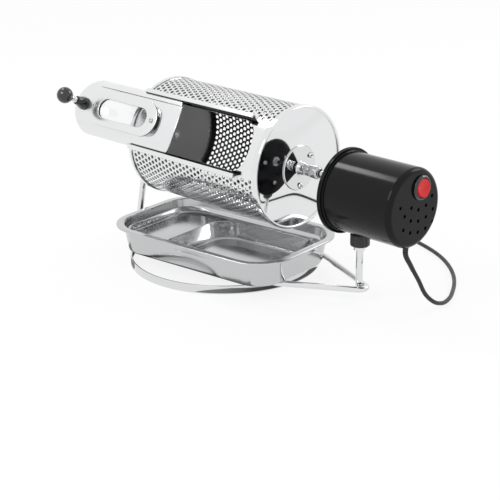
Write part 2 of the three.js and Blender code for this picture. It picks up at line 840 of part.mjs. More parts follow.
// Stand wire: one closed loop on the hoop, its two noses round the feet of the posts
function stand_wire(left_foot) {
  const nose = post_diameter / 2 + wire_diameter / 2 + post_nose_gap;
  const half_angle = radians(wire_half_angle);
  const shoulder = (wire_half_spread - nose / Math.cos(half_angle)) / Math.tan(half_angle);
  const bend = wire_diameter;
  const arc = (center_x, from, to) => Array.from({ length: corner_steps + 1 }, (_, i) => {
    const angle = from + (to - from) * i / corner_steps;
    return new THREE.Vector3(center_x + nose * Math.cos(angle), nose * Math.sin(angle), 0);
  });
  const open = Math.PI / 2 - half_angle;
  const corner = (x, y, toward) => [-1, 0, 1].map((step) => {
    const along = step * bend;
    const inward = step * toward > 0 ? Math.abs(along) * Math.tan(half_angle) : 0;
    const soft = step === 0 ? bend * Math.tan(half_angle) * wire_bend_share : 0;
    return new THREE.Vector3(x + along, y - Math.sign(y) * (inward + soft), 0);
  });
  const right_x = -shoulder;
  const left_x = -left_foot + shoulder;
  const points = [
    ...arc(0, -open, open),
    ...corner(right_x, wire_half_spread, 1).reverse(),
    ...corner(left_x, wire_half_spread, -1).reverse(),
    ...arc(-left_foot, Math.PI - open, Math.PI + open),
    ...corner(left_x, -wire_half_spread, -1),
    ...corner(right_x, -wire_half_spread, 1),
  ];
  const loop = new Stations(points, true);
  const tube = new THREE.TubeGeometry(loop, points.length, wire_diameter / 2, wire_sides, true);
  return piece('stand_wire', closed(tube).translate(0, 0, wire_z), chrome_wire);
}

// Straight round post between two places
function post(name, foot, top) {
  const span = top.clone().sub(foot);
  const radius = post_diameter / 2;
  const mesh = piece(name, turned([
    [0, 0], [radius, 0], [radius, span.length()], [0, span.length()],
  ], small_facets), chrome_wire);
  mesh.position.copy(foot);
  mesh.quaternion.setFromUnitVectors(new THREE.Vector3(0, 0, 1), span.normalize());
  return mesh;
}

// Rounded rectangle as a ring of points, from its sides' places
function rounded_ring(left, right, front, back, radius, height) {
  const corners = [
    [right - radius, back - radius, 0], [left + radius, back - radius, 1],
    [left + radius, front + radius, 2], [right - radius, front + radius, 3],
  ];
  return corners.flatMap(([x, y, quarter]) => Array.from({ length: corner_steps + 1 }, (_, i) => {
    const angle = Math.PI / 2 * (quarter + i / corner_steps);
    return new THREE.Vector3(x + radius * Math.cos(angle), y + radius * Math.sin(angle), height);
  }));
}

// Closed skin over a stack of rings with equal counts, capped at both ends
function lofted(rings) {
  const count = rings[0].length;
  const middle = (ring) => ring.reduce((sum, p) => sum.add(p), new THREE.Vector3()).divideScalar(count);
  const points = [...rings.flat(), middle(rings[0]), middle(rings[rings.length - 1])];
  const first = rings.length * count;
  const index = [];
  rings.forEach((_, level) => {
    for (let i = 0; i < count; i++) {
      const a = level * count + i;
      const b = level * count + (i + 1) % count;
      if (level === 0) index.push(first, b, a);
      if (level < rings.length - 1) index.push(a, b, b + count, a, b + count, a + count);
      else index.push(first + 1, a, b);
    }
  });
  const geometry = new THREE.BufferGeometry().setFromPoints(points);
  geometry.setIndex(index);
  return closed(geometry);
}

// Catch tray: its outline goes out under the well, down and up round the outer wall's foot, over the
// lip and back down inside
function catch_tray() {
  const half_length = tray_length / 2;
  const half_depth = tray_depth / 2;
  const level = (inset, height) => rounded_ring(
    inset - half_length, half_length - inset, inset - half_depth, half_depth - inset,
    Math.max(tray_corner_radius - inset, tray_sheet), height,
  );
  const well = (inset, height) => rounded_ring(
    well_left_margin + inset - half_length, half_length - well_right_margin - inset,
    well_front_margin + inset - half_depth, half_depth - well_back_margin - inset,
    well_corner_radius, height,
  );
  const wall = tray_lip + tray_wall_slope;
  const ledge = tray_ledge_height;
  const skin = tray_sheet;
  const bead_foot = tray_bead * tray_bead_foot_share;
  return piece('catch_tray', lofted([
    well(well_slope + skin, 0), well(well_slope, skin), well(-skin, ledge - skin),
    level(wall, ledge - skin), level(tray_foot_inset + skin, 0), level(tray_foot_inset, 0),
    level(tray_lip, tray_height - skin), level(skin, tray_height - skin),
    level(skin, tray_height - tray_lip_drop), level(0, tray_height - tray_lip_drop),
    level(0, tray_height - skin / 2), level(skin / 2, tray_height),
    level(tray_lip + skin, tray_height), level(wall, ledge),
    well(-tray_bead - bead_foot, ledge), well(-tray_bead, ledge + tray_bead), well(0, ledge + tray_bead),
    well(bead_foot, ledge), well(well_slope + skin / 2, skin * 2), well(well_slope + skin * 2, skin),
  ]), polished_steel);
}

// Free stretch of the mains lead, from the grommet to the coil
function cord_free() {
  const places = cord_route.map((p) => new THREE.Vector3(...p));
  const route = new THREE.CatmullRomCurve3(places, false, 'centripetal');
  const section = new THREE.Shape();
  for (let i = 0; i < cord_sides; i++) {
    const angle = 2 * Math.PI * (i + 0.5) / cord_sides;
    const point = [cord_diameter / 2 * Math.cos(angle), cord_diameter / 2 * Math.sin(angle)];
    if (i === 0) section.moveTo(...point);
    else section.lineTo(...point);
  }
  section.closePath();
  const geometry = new THREE.ExtrudeGeometry(section, {
    steps: cord_steps, bevelEnabled: false, extrudePath: route,
  });
  return piece('cord_free', closed(geometry), black_rubber);
}

// Coil of the spare lead: it spirals in on the floor, climbs in a half turn and spirals out on top
function coil_points() {
  const points = [];
  const half = coil_turns_a_layer + 0.5;
  const total = 2 * half;
  const count = Math.round(total * coil_steps_a_turn);
  for (let i = 0; i <= count; i++) {
    const turn = total * i / count;
    const inward = Math.min(turn, total - turn);
    const climb = THREE.MathUtils.smoothstep(turn, half - 0.5, half + 0.5);
    const radius = coil_outer_radius - coil_pitch * inward;
    const angle = Math.PI / 2 + 2 * Math.PI * turn;
    points.push(new THREE.Vector3(
      radius * Math.cos(angle), radius * Math.sin(angle), coil_layer_rise * climb,
    ));
  }
  return points;
}

function coil_center() {
  const end = cord_route[cord_route.length - 1];
  return [end[0] - seat_gap - coil_lead_in, end[1] - coil_outer_radius, end[2]];
}

function cord_coil() {
  const turns = coil_points();
  const first = turns[0].clone().add(new THREE.Vector3(coil_lead_in, 0, 0));
  const last = turns[turns.length - 1].clone().sub(new THREE.Vector3(coil_tail, 0, 0));
  const stations = [first, ...turns, last];
  let least = Infinity;
  stations.forEach((p, i) => stations.forEach((q, j) => {
    if (j - i > coil_steps_a_turn / 2) least = Math.min(least, p.distanceTo(q));
  }));
  console.log(`least gap of the coil to itself: ${(least - cord_diameter).toFixed(2)} mm`);
  const section = new THREE.Shape();
  for (let i = 0; i < coil_sides; i++) {
    const angle = 2 * Math.PI * i / coil_sides;
    const point = [cord_diameter / 2 * Math.cos(angle), cord_diameter / 2 * Math.sin(angle)];
    if (i === 0) section.moveTo(...point);
    else section.lineTo(...point);
  }
  section.closePath();
  const geometry = new THREE.ExtrudeGeometry(section, {
    steps: stations.length - 1, bevelEnabled: false, extrudePath: new Stations(stations, false),
  });
  const mesh = piece('cord_coil', closed(geometry), black_rubber);
  mesh.position.set(...coil_center());
  return mesh;
}

// Plug: a flat body with a sleeve towards the coil, its two round pins pointing away along -X
function plug_pieces() {
  const half = plug_width / 2;
  const neck = plug_neck_diameter / 2;
  const shoulder = -plug_neck_length - plug_corner_radius;
  const back = -plug_neck_length - plug_length;
  const outline = new THREE.Shape();
  outline.moveTo(-plug_neck_length, neck);
  outline.lineTo(shoulder, half);
  outline.lineTo(back + plug_corner_radius, half);
  const round = plug_corner_radius;
  outline.absarc(back + round, half - round, round, Math.PI / 2, Math.PI);
  outline.absarc(back + round, round - half, round, Math.PI, 1.5 * Math.PI);
  outline.lineTo(shoulder, -half);
  outline.lineTo(-plug_neck_length, -neck);
  outline.closePath();
  const mouth = cord_diameter / 2 + plug_wall;
  const sleeve = turned_x([
    [0, shoulder], [neck, shoulder], [neck, -plug_neck_length], [mouth, 0], [0, 0],
  ], small_facets);
  const body = piece('plug_body', joined([
    raised(outline, -plug_thickness / 2, plug_thickness, corner_steps / 2), sleeve,
  ]), black_rubber);
  const pin_end = back - seat_gap;
  const pins = [-1, 1].map((side, i) => {
    const pin = rod_x(`plug_pin_${i + 1}`, plug_pin_diameter, pin_end - plug_pin_length, pin_end, brass);
    pin.position.y = side * plug_pin_spacing / 2;
    return pin;
  });
  const [x, y, z] = coil_center();
  return group_of([body, ...pins], [x - coil_tail - seat_gap, y + coil_outer_radius, z + coil_layer_rise]);
}

// The drum with its ends, rails and door. Its frame's Z points out through the mouth.
const door_group = group_of([door_panel(), ...window_pieces(), door_knob()], [-door_travel, 0, 0]);
const mouth_group = group_of([
  drum_shell(), door_rail('door_rail_top', 1), door_rail('door_rail_bottom', -1), door_group,
]);
mouth_group.rotation.x = radians(90 - door_angle);

const right_end = group_of(drum_end('right', right_skirt));
const left_end = group_of(drum_end('left', left_skirt), [-drum_length, 0, 0]);
left_end.rotation.z = Math.PI;

const spindle_inner_end = cap_wall + seat_gap + spindle_nut_thickness + running_gap;
const coupling_left = hub_face + seat_gap;
const coupling_right = coupling_left + coupling_length;
const coupling = piece('shaft_coupling', turned_x([
  [spindle_diameter / 2 + seat_gap, coupling_left], [coupling_diameter / 2, coupling_left],
  [coupling_diameter / 2, coupling_right], [spindle_diameter / 2 + seat_gap, coupling_right],
], turned_facets), polished_steel);
const spindle_split = (coupling_left + coupling_right) / 2;
const drum_group = group_of([
  mouth_group, right_end, left_end, coupling,
  rod_x('right_spindle', spindle_diameter, -spindle_inner_end, spindle_split, polished_steel),
  rod_x(
    'drive_shaft', spindle_diameter, spindle_split + seat_gap,
    housing_left + gearbox_bore_depth - running_gap, polished_steel,
  ),
  rod_x(
    'left_spindle', spindle_diameter, -drum_length - left_spindle_reach,
    spindle_inner_end - drum_length, polished_steel,
  ),
], [0, 0, drum_axis_height]);

// The motor head. Its frame's X is the housing's own axis.
const switch_group = group_of([switch_bezel(), rocker_switch()], [motor_face, switch_side, switch_rise]);
const grommet = cord_grommet();
grommet.position.set(motor_face - grommet_inset, 0, -motor_radius - seat_gap);
const motor_group = group_of([
  motor_housing(), motor_front_cover(), ...cover_screws(), ...drive_pieces(), switch_group, grommet,
], [0, 0, motor_axis_height]);

// Clamp knob, lock nut and inner nut on the right post
const knob_top = motor_axis_height - motor_radius - seat_gap;
const knob_level = knob_top - clamp_knob_height;
const clamp = clamp_knob();
clamp.position.set(post_x, 0, knob_level);
const nut_bore = post_diameter + 2 * seat_gap;
const lock_nut = hex_nut('lock_nut', lock_nut_diameter, nut_bore, lock_nut_height);
lock_nut.position.set(post_x, 0, knob_level - seat_gap - lock_nut_height);
const post_nut = hex_nut('post_nut', post_nut_diameter, nut_bore, post_nut_height);
const inner_radius = motor_radius - motor_wall;
const nut_sag = inner_radius - Math.sqrt(inner_radius ** 2 - (post_nut_diameter / 2) ** 2);
const nut_level = motor_axis_height - inner_radius + nut_sag + seat_gap;
post_nut.position.set(post_x, 0, nut_level);

// The stand, in a frame at the right post's foot and turned with it
const left_post_x = -drum_length - left_post_reach;
const foot_distance = (post_x - left_post_x) / Math.cos(radians(stand_turn));
const foot_level = hoop_height + seat_gap;
const foot_shift = -(post_x - left_post_x) * Math.tan(radians(stand_turn));
const eye = piece('left_post_eye', turned_x([
  [spindle_diameter / 2 + running_gap, -eye_length / 2], [eye_diameter / 2, -eye_length / 2],
  [eye_diameter / 2, eye_length / 2], [spindle_diameter / 2 + running_gap, eye_length / 2],
], turned_facets), polished_steel);
eye.position.set(left_post_x, 0, drum_axis_height);
const left_post_foot = new THREE.Vector3(left_post_x, foot_shift, foot_level);
const left_post_aim = new THREE.Vector3(left_post_x, 0, drum_axis_height);
const left_post_top = left_post_aim.clone().add(
  left_post_foot.clone().sub(left_post_aim).setLength(eye_diameter / 2 + seat_gap),
);
const left_post = post('left_post', left_post_foot, left_post_top);
const right_post = post(
  'right_post', new THREE.Vector3(post_x, 0, foot_level),
  new THREE.Vector3(post_x, 0, nut_level + post_nut_height - seat_gap),
);
const hoop = base_hoop();
hoop.position.x = -hoop_setback;
const tray = catch_tray();
tray.position.set(-tray_setback, -tray_shift, tray_floor_z);
tray.rotation.z = radians(tray_turn);
const stand_group = group_of([hoop, stand_wire(foot_distance), tray], [post_x, 0, 0]);
stand_group.rotation.z = radians(stand_turn);

// The whole machine stands with the middle of its base at the origin
const machine = group_of([
  drum_group, motor_group, clamp, lock_nut, post_nut, right_post, left_post, eye, stand_group,
]);
machine.updateMatrixWorld(true);
const reach = new THREE.Box3().setFromObject(machine, true);
const middle = reach.getCenter(new THREE.Vector3());
machine.position.set(-middle.x, -middle.y, -reach.min.z);

const mouth_of_grommet = new THREE.Vector3(
  motor_face - grommet_inset, 0,
  motor_axis_height - motor_radius - seat_gap - grommet_flange_thickness - seat_gap,
).add(machine.position);
const cord_group = group_of([cord_free(), cord_coil(), plug_pieces()], mouth_of_grommet.toArray());

export default group_of([machine, cord_group]);
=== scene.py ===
# %% [markdown]
# # A drum coffee roaster
# The roaster is nearly all bright sheet steel: a drum full of punched holes, a sliding door,
# a wire stand and a pressed tray, with a black motor at one end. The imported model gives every
# piece its place. Here each piece that shows gets smooth, bevelled sheet and a real finish.
# Lengths are in metres, X runs along the drum, Y to the back and Z up.

# %% Load the frame
import json
import math

import bmesh
import bpy
from mathutils import Matrix, Vector
from mathutils.geometry import interpolate_bezier

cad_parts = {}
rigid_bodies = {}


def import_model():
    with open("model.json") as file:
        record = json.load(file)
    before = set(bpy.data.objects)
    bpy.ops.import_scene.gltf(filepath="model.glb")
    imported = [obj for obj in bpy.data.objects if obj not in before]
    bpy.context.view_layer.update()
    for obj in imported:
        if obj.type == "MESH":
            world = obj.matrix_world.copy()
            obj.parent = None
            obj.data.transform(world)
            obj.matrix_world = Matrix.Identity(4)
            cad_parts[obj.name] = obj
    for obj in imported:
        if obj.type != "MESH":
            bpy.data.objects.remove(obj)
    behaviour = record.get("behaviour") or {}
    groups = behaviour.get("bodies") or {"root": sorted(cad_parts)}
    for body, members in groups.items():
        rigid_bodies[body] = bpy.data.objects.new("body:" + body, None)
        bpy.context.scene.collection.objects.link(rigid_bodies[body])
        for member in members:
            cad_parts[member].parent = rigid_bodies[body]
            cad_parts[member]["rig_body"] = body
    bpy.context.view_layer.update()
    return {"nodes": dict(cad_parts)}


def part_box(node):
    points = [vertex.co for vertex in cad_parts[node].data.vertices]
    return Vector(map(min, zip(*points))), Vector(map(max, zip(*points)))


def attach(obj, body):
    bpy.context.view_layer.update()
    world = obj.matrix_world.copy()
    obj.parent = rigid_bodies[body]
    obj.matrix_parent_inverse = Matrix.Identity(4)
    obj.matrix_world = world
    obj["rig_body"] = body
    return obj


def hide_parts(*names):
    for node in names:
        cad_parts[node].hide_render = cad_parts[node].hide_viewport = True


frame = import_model()
mm = 0.001
hair = 0.01 * mm

# %% [markdown]
# ## The camera
# The photograph looks down on the machine from the front right with a long lens. Long lenses
# keep the far end of the drum nearly as large as the near one, which is how shops show tools.

# %% Camera
camera_place = Vector((0.91236, -0.93441, 0.49928))
camera_turn = 44.168
camera_drop = 20.26
camera_roll = -0.263
camera_lens = 100.74

lens = bpy.data.cameras.new("camera")
lens.lens = camera_lens
lens.sensor_width = 36
camera = bpy.data.objects.new("camera", lens)
bpy.context.scene.collection.objects.link(camera)
camera.location = camera_place
look = (
    Matrix.Rotation(math.radians(camera_turn), 3, "Z")
    @ Matrix.Rotation(math.radians(90 - camera_drop), 3, "X")
    @ Matrix.Rotation(math.radians(camera_roll), 3, "Z")
)
camera.rotation_euler = look.to_euler()
bpy.context.scene.camera = camera
print("camera at", [round(v, 3) for v in camera_place])

# %% [markdown]
# ## The studio
# Polished steel has hardly a colour of its own: it shows the room. Photographers light it in a
# white tent, so that it comes out bright and even. The tent here is a white world and a pale
# floor. What the camera, glass and metal see of the floor is mostly a plain glow, so that it stays
# pale right to the horizon. The rest is its own paint, which keeps the machine's shadow.

# %% World
scene = bpy.context.scene
scene.view_settings.view_transform = "Standard"
tent_light = 0.82


def seen_plainly(tree):
    """1 for rays from the camera, glass and metal, and 0 for the light that falls on things."""
    path = tree.nodes.new("ShaderNodeLightPath")
    seen = path.outputs["Is Camera Ray"]
    for kind in ("Is Transmission Ray", "Is Glossy Ray"):
        either = tree.nodes.new("ShaderNodeMath")
        either.operation = "MAXIMUM"
        tree.links.new(seen, either.inputs[0])
        tree.links.new(path.outputs[kind], either.inputs[1])
        seen = either.outputs[0]
    return seen


world = bpy.data.worlds.new("white_tent")
scene.world = world
world.use_nodes = True
tent = world.node_tree
tent.nodes.clear()
tent_mix = tent.nodes.new("ShaderNodeMix")
tent_mix.data_type = "RGBA"
tent_mix.inputs["A"].default_value = (tent_light, tent_light, tent_light, 1)
tent_mix.inputs["B"].default_value = (1, 1, 1, 1)
tent_shader = tent.nodes.new("ShaderNodeBackground")
tent_output = tent.nodes.new("ShaderNodeOutputWorld")
tent.links.new(seen_plainly(tent), tent_mix.inputs["Factor"])
tent.links.new(tent_mix.outputs["Result"], tent_shader.inputs["Color"])
tent.links.new(tent_shader.outputs[0], tent_output.inputs["Surface"])
print("world", world.name)

# %% Floor
floor_tone = 0.9
floor_reach = 12
floor_roughness = 0.9
floor_specular = 0.1
glow_share = 0.86


def link_object(name, data):
    thing = bpy.data.objects.new(name, data)
    scene.collection.objects.link(thing)
    return thing


def flat_board(name, width, height):
    """A flat rectangle in the XY plane, its middle at the origin."""
    board = bmesh.new()
    bmesh.ops.create_grid(board, x_segments=1, y_segments=1, size=0.5)
    bmesh.ops.scale(board, vec=(width, height, 1), verts=board.verts)
    mesh = bpy.data.meshes.new(name)
    board.to_mesh(mesh)
    board.free()
    return link_object(name, mesh)


floor = flat_board("floor", floor_reach, floor_reach)
floor_paint = bpy.data.materials.new("pale_floor")
floor_paint.use_nodes = True
floor_tree = floor_paint.node_tree
floor_shader = floor_tree.nodes["Principled BSDF"]
floor_shader.inputs["Base Color"].default_value = (floor_tone, floor_tone, floor_tone, 1)
floor_shader.inputs["Roughness"].default_value = floor_roughness
floor_shader.inputs["Specular IOR Level"].default_value = floor_specular
glow = floor_tree.nodes.new("ShaderNodeEmission")
glow_part = floor_tree.nodes.new("ShaderNodeMath")
glow_part.operation = "MULTIPLY"
glow_part.inputs[1].default_value = glow_share
floor_mix = floor_tree.nodes.new("ShaderNodeMixShader")
floor_tree.links.new(seen_plainly(floor_tree), glow_part.inputs[0])
floor_tree.links.new(glow_part.outputs[0], floor_mix.inputs["Fac"])
floor_tree.links.new(floor_shader.outputs[0], floor_mix.inputs[1])
floor_tree.links.new(glow.outputs[0], floor_mix.inputs[2])
floor_tree.links.new(floor_mix.outputs[0], floor_tree.nodes["Material Output"].inputs["Surface"])
floor.data.materials.append(floor_paint)
print("floor", floor_reach, "m wide")

# %% [markdown]
# A tent alone leaves metal flat, so three soft lamps add the streaks and the soft shadow. A grey
# card lies on the table under the drum and shows only in reflections. It gives the undersides of
# the drum and the tray their darker tone without darkening the floor in the picture.

# %% Lamps and the table card
whole_machine = (0.04, 0, 0.09)
motor_side = (0.158, 0.012, 0.105)
card_place = (-0.03, -0.02, 1 * mm)
card_width = 0.2
card_height = 0.13
card_tone = 0.3


def soft_lamp(name, place, width, height, power, target):
    """A rectangular lamp at a place, turned so that it shines at the target."""
    data = bpy.data.lights.new(name, "AREA")
    data.shape = "RECTANGLE"
    data.size = width
    data.size_y = height
    data.energy = power
    lamp = link_object(name, data)
    lamp.location = place
    lamp.rotation_euler = (Vector(target) - Vector(place)).to_track_quat("-Z", "Y").to_euler()


def table_card():
    """A flat card that only mirrors see."""
    paint = bpy.data.materials.new("grey_card")
    paint.use_nodes = True
    shader = paint.node_tree.nodes["Principled BSDF"]
    shader.inputs["Base Color"].default_value = (card_tone, card_tone, card_tone, 1)
    shader.inputs["Specular IOR Level"].default_value = 0
    card = flat_board("card_table", card_width, card_height)
    card.location = card_place
    card.data.materials.append(paint)
    card.visible_camera = False
    card.visible_diffuse = False
    card.visible_shadow = False
    card.visible_transmission = False


soft_lamp("top_softbox", (-0.80, -0.05, 1.30), 0.34, 0.2, 2.5, motor_side)
soft_lamp("front_softbox", (-0.3, -1.7, 1.5), 1.2, 0.9, 14, whole_machine)
soft_lamp("back_softbox", (0.8, 1.6, 1.2), 1.0, 0.8, 8, whole_machine)
table_card()
print("lamps", len(bpy.data.lights))

# %% [markdown]
# ## Finishes
# Most of the machine is bright steel in several degrees of gloss, from the mirror of the drum's
# ends to the rolled sheet of the door. The rest is black paint, moulded plastic, rubber, brass
# and glass. They share two effects, so each effect is built once as a node group: faint handling
# smears that change the gloss, and a fine grain that tilts the surface a little.

# %% Shared effects
def node_group(name, inputs, output_name, output_kind):
    """An empty shader group with named inputs and one output."""
    group = bpy.data.node_groups.new(name, "ShaderNodeTree")
    for label, kind, value in inputs:
        socket = group.interface.new_socket(name=label, in_out="INPUT", socket_type=kind)
        socket.default_value = value
    group.interface.new_socket(name=output_name, in_out="OUTPUT", socket_type=output_kind)
    entry = group.nodes.new("NodeGroupInput")
    leave = group.nodes.new("NodeGroupOutput")
    return group, entry, leave


# %% Smears
def smear_group():
    """Roughness that wanders between a low and a high value in soft patches."""
    group, entry, leave = node_group("smears", [
        ("Scale", "NodeSocketFloat", 20.0),
        ("Low", "NodeSocketFloat", 0.05),
        ("High", "NodeSocketFloat", 0.12),
    ], "Roughness", "NodeSocketFloat")
    place = group.nodes.new("ShaderNodeTexCoord")
    noise = group.nodes.new("ShaderNodeTexNoise")
    noise.inputs["Detail"].default_value = 4
    spread = group.nodes.new("ShaderNodeMapRange")
    spread.inputs["From Min"].default_value = 0.3
    spread.inputs["From Max"].default_value = 0.7
    group.links.new(place.outputs["Object"], noise.inputs["Vector"])
    group.links.new(entry.outputs["Scale"], noise.inputs["Scale"])
    group.links.new(noise.outputs["Fac"], spread.inputs["Value"])
    group.links.new(entry.outputs["Low"], spread.inputs["To Min"])
    group.links.new(entry.outputs["High"], spread.inputs["To Max"])
    group.links.new(spread.outputs["Result"], leave.inputs["Roughness"])
    return group


smears = smear_group()
print("effect", smears.name)


# %% Rolling grain
def grain_group():
    """Height of fine lines that run along one direction, as rolling leaves them."""
    group, entry, leave = node_group("rolling_grain", [
        ("Stretch", "NodeSocketVector", (40.0, 900.0, 900.0)),
        ("Strength", "NodeSocketFloat", 0.5),
    ], "Height", "NodeSocketFloat")
    place = group.nodes.new("ShaderNodeTexCoord")
    stretch = group.nodes.new("ShaderNodeVectorMath")
    stretch.operation = "MULTIPLY"
    noise = group.nodes.new("ShaderNodeTexNoise")
    noise.inputs["Scale"].default_value = 1
    noise.inputs["Detail"].default_value = 3
    gain = group.nodes.new("ShaderNodeMath")
    gain.operation = "MULTIPLY"
    group.links.new(place.outputs["Object"], stretch.inputs[0])
    group.links.new(entry.outputs["Stretch"], stretch.inputs[1])
    group.links.new(stretch.outputs[0], noise.inputs["Vector"])
    group.links.new(noise.outputs["Fac"], gain.inputs[0])
    group.links.new(entry.outputs["Strength"], gain.inputs[1])
    group.links.new(gain.outputs[0], leave.inputs["Height"])
    return group


rolling_grain = grain_group()
print("effect", rolling_grain.name)

# %% [markdown]
# Every finish is one Principled shader. Its plain values are set on its own sockets, and the two
# effects feed its roughness and its normal. A function takes the colour, the gloss and the grain,
# because that is all in which one steel differs from the next.

# %% A finish with smears and grain
grain_depth = 0.1 * mm


def finish_material(name, color, metallic, smear, grain=None, bump=0.02, **sockets):
    """A surface with a smear of (scale, low and high roughness) and, where asked, a grain.

    Other sockets are set by their names.
    """
    material = bpy.data.materials.new(name)
    material.use_nodes = True
    tree = material.node_tree
    shader = tree.nodes["Principled BSDF"]
    shader.inputs["Base Color"].default_value = (*color, 1)
    shader.inputs["Metallic"].default_value = metallic
    for label, value in sockets.items():
        shader.inputs[label.replace("_", " ")].default_value = value
    patches = tree.nodes.new("ShaderNodeGroup")
    patches.node_tree = smears
    patches.inputs["Scale"].default_value = smear[0]
    patches.inputs["Low"].default_value = smear[1]
    patches.inputs["High"].default_value = smear[2]
    tree.links.new(patches.outputs["Roughness"], shader.inputs["Roughness"])
    if grain:
        lines = tree.nodes.new("ShaderNodeGroup")
        lines.node_tree = rolling_grain
        lines.inputs["Stretch"].default_value = grain
        relief = tree.nodes.new("ShaderNodeBump")
        relief.inputs["Strength"].default_value = bump
        relief.inputs["Distance"].default_value = grain_depth
        tree.links.new(lines.outputs["Height"], relief.inputs["Height"])
        tree.links.new(relief.outputs["Normal"], shader.inputs["Normal"])
    return material


# %% A pressed dome in a finish
def domed(material, middle, radius, cone):
    """Tilts the surface as on a cap that is pressed a little proud in its middle.

    A ball's cap falls by half the square of the reach over its radius, a cone by a share of it.
    """
    tree = material.node_tree
    place = tree.nodes.new("ShaderNodeTexCoord")
    from_axis = tree.nodes.new("ShaderNodeVectorMath")
    from_axis.operation = "SUBTRACT"
    from_axis.inputs[1].default_value = middle
    across = tree.nodes.new("ShaderNodeVectorMath")
    across.operation = "MULTIPLY"
    across.inputs[1].default_value = (0, 1, 1)
    reach = tree.nodes.new("ShaderNodeVectorMath")
    reach.operation = "LENGTH"
    curved = tree.nodes.new("ShaderNodeMath")
    curved.operation = "MULTIPLY_ADD"
    curved.inputs[1].default_value = -0.5 / radius
    curved.inputs[2].default_value = -cone
    height = tree.nodes.new("ShaderNodeMath")
    height.operation = "MULTIPLY"
    tilt = tree.nodes.new("ShaderNodeBump")
    tilt.inputs["Distance"].default_value = 1
    tree.links.new(place.outputs["Object"], from_axis.inputs[0])
    tree.links.new(from_axis.outputs[0], across.inputs[0])
    tree.links.new(across.outputs[0], reach.inputs[0])
    tree.links.new(reach.outputs["Value"], curved.inputs[0])
    tree.links.new(curved.outputs[0], height.inputs[0])
    tree.links.new(reach.outputs["Value"], height.inputs[1])
    tree.links.new(height.outputs[0], tilt.inputs["Height"])
    tree.links.new(tilt.outputs["Normal"], tree.nodes["Principled BSDF"].inputs["Normal"])
    return material


# %% Steels and other metals
along_x_grain = (30.0, 1500.0, 1500.0)
even_grain = (900.0, 900.0, 900.0)
polished_steel = finish_material("polished_steel", (0.7, 0.705, 0.71), 1, (18, 0.03, 0.08))
pressed_steel = finish_material("pressed_steel", (0.55, 0.555, 0.56), 1, (25, 0.11, 0.16))
satin_steel = finish_material(
    "satin_steel", (0.80, 0.805, 0.81), 1, (25, 0.16, 0.24), along_x_grain, 0.15,
)
perforated_steel = finish_material(
    "perforated_steel", (0.8, 0.805, 0.81), 1, (30, 0.12, 0.18), along_x_grain, 0.03,
)
# Near-black steel that paints shade: the drum's inside and the dark gaps along the rails, the door's fold and
# the window frame.
painted_shade_steel = finish_material("painted_shade_steel", (0.05, 0.05, 0.05), 1, (40, 0.25, 0.35), even_grain, 0.1)
# A darker grey steel that paints shade on the inside faces of the drum's ends.
painted_shade_cap = finish_material("painted_shade_cap", (0.3, 0.3, 0.3), 1, (40, 0.3, 0.4), even_grain, 0.1)
# A darker chrome for the coupling sleeve and the window frame's screws.
dark_chrome = finish_material("dark_chrome", (0.5, 0.505, 0.51), 1, (60, 0.08, 0.16))
chrome_plate = finish_material("chrome_plate", (0.74, 0.745, 0.75), 1, (30, 0.02, 0.06))
zinc_plate = finish_material("zinc_plate", (0.42, 0.43, 0.45), 1, (60, 0.3, 0.45), even_grain, 0.2)
brass_metal = finish_material("brass", (0.72, 0.55, 0.25), 1, (60, 0.2, 0.35), even_grain, 0.1)
print("metals", len(bpy.data.materials))

# %% Paint, plastic, rubber and glass
black_gloss = finish_material(
    "black_gloss", (0.006, 0.006, 0.007), 0, (30, 0.12, 0.16), even_grain, 0.03,
    Specular_IOR_Level=0.16, Coat_Weight=0,
)
black_bakelite = finish_material(
    "black_bakelite", (0.010, 0.010, 0.011), 0, (40, 0.05, 0.1), None, 0,
    Coat_Weight=0.5, Coat_Roughness=0.03,
)
moulded_black = finish_material("moulded_black", (0.014, 0.014, 0.015), 0, (50, 0.3, 0.45), even_grain, 0.25)
red_lens = finish_material(
    "red_lens", (0.62, 0.004, 0.010), 0, (60, 0.18, 0.3), even_grain, 0.03,
    Subsurface_Weight=0.2, Subsurface_Scale=2 * mm, Specular_IOR_Level=0.3,
    Coat_Weight=0.1, Coat_Roughness=0.05,
)
lead_rubber = finish_material("lead_rubber", (0.012, 0.012, 0.013), 0, (80, 0.35, 0.5), even_grain, 0.3)
window_pane = finish_material(
    "window_pane", (0.93, 0.95, 0.95), 0, (30, 0.0, 0.02), None, 0, Transmission_Weight=1.0, IOR=1.45,
)
print("materials", len(bpy.data.materials))

# %% [markdown]
# ## Helpers
# Most of the machine is turned on a lathe or bent from flat sheet. A turned piece is a profile
# of radius and height points that is spun. Every sharp edge is bevelled a little, because the
# thin bright line along an edge is what makes metal look like metal.

# %% Helpers for turned and bevelled pieces
flat_enough = math.radians(30)
weld = 0.001 * mm


def soften(shape, width, segments=2, least=flat_enough, clamp=True):
    """Bevels every edge that turns by more than the least angle."""
    edges = [e for e in shape.edges if len(e.link_faces) == 2 and e.calc_face_angle() > least]
    bmesh.ops.bevel(
        shape, geom=edges, offset=width, segments=segments, profile=0.5, affect="EDGES",
        material=-1, clamp_overlap=clamp,
    )


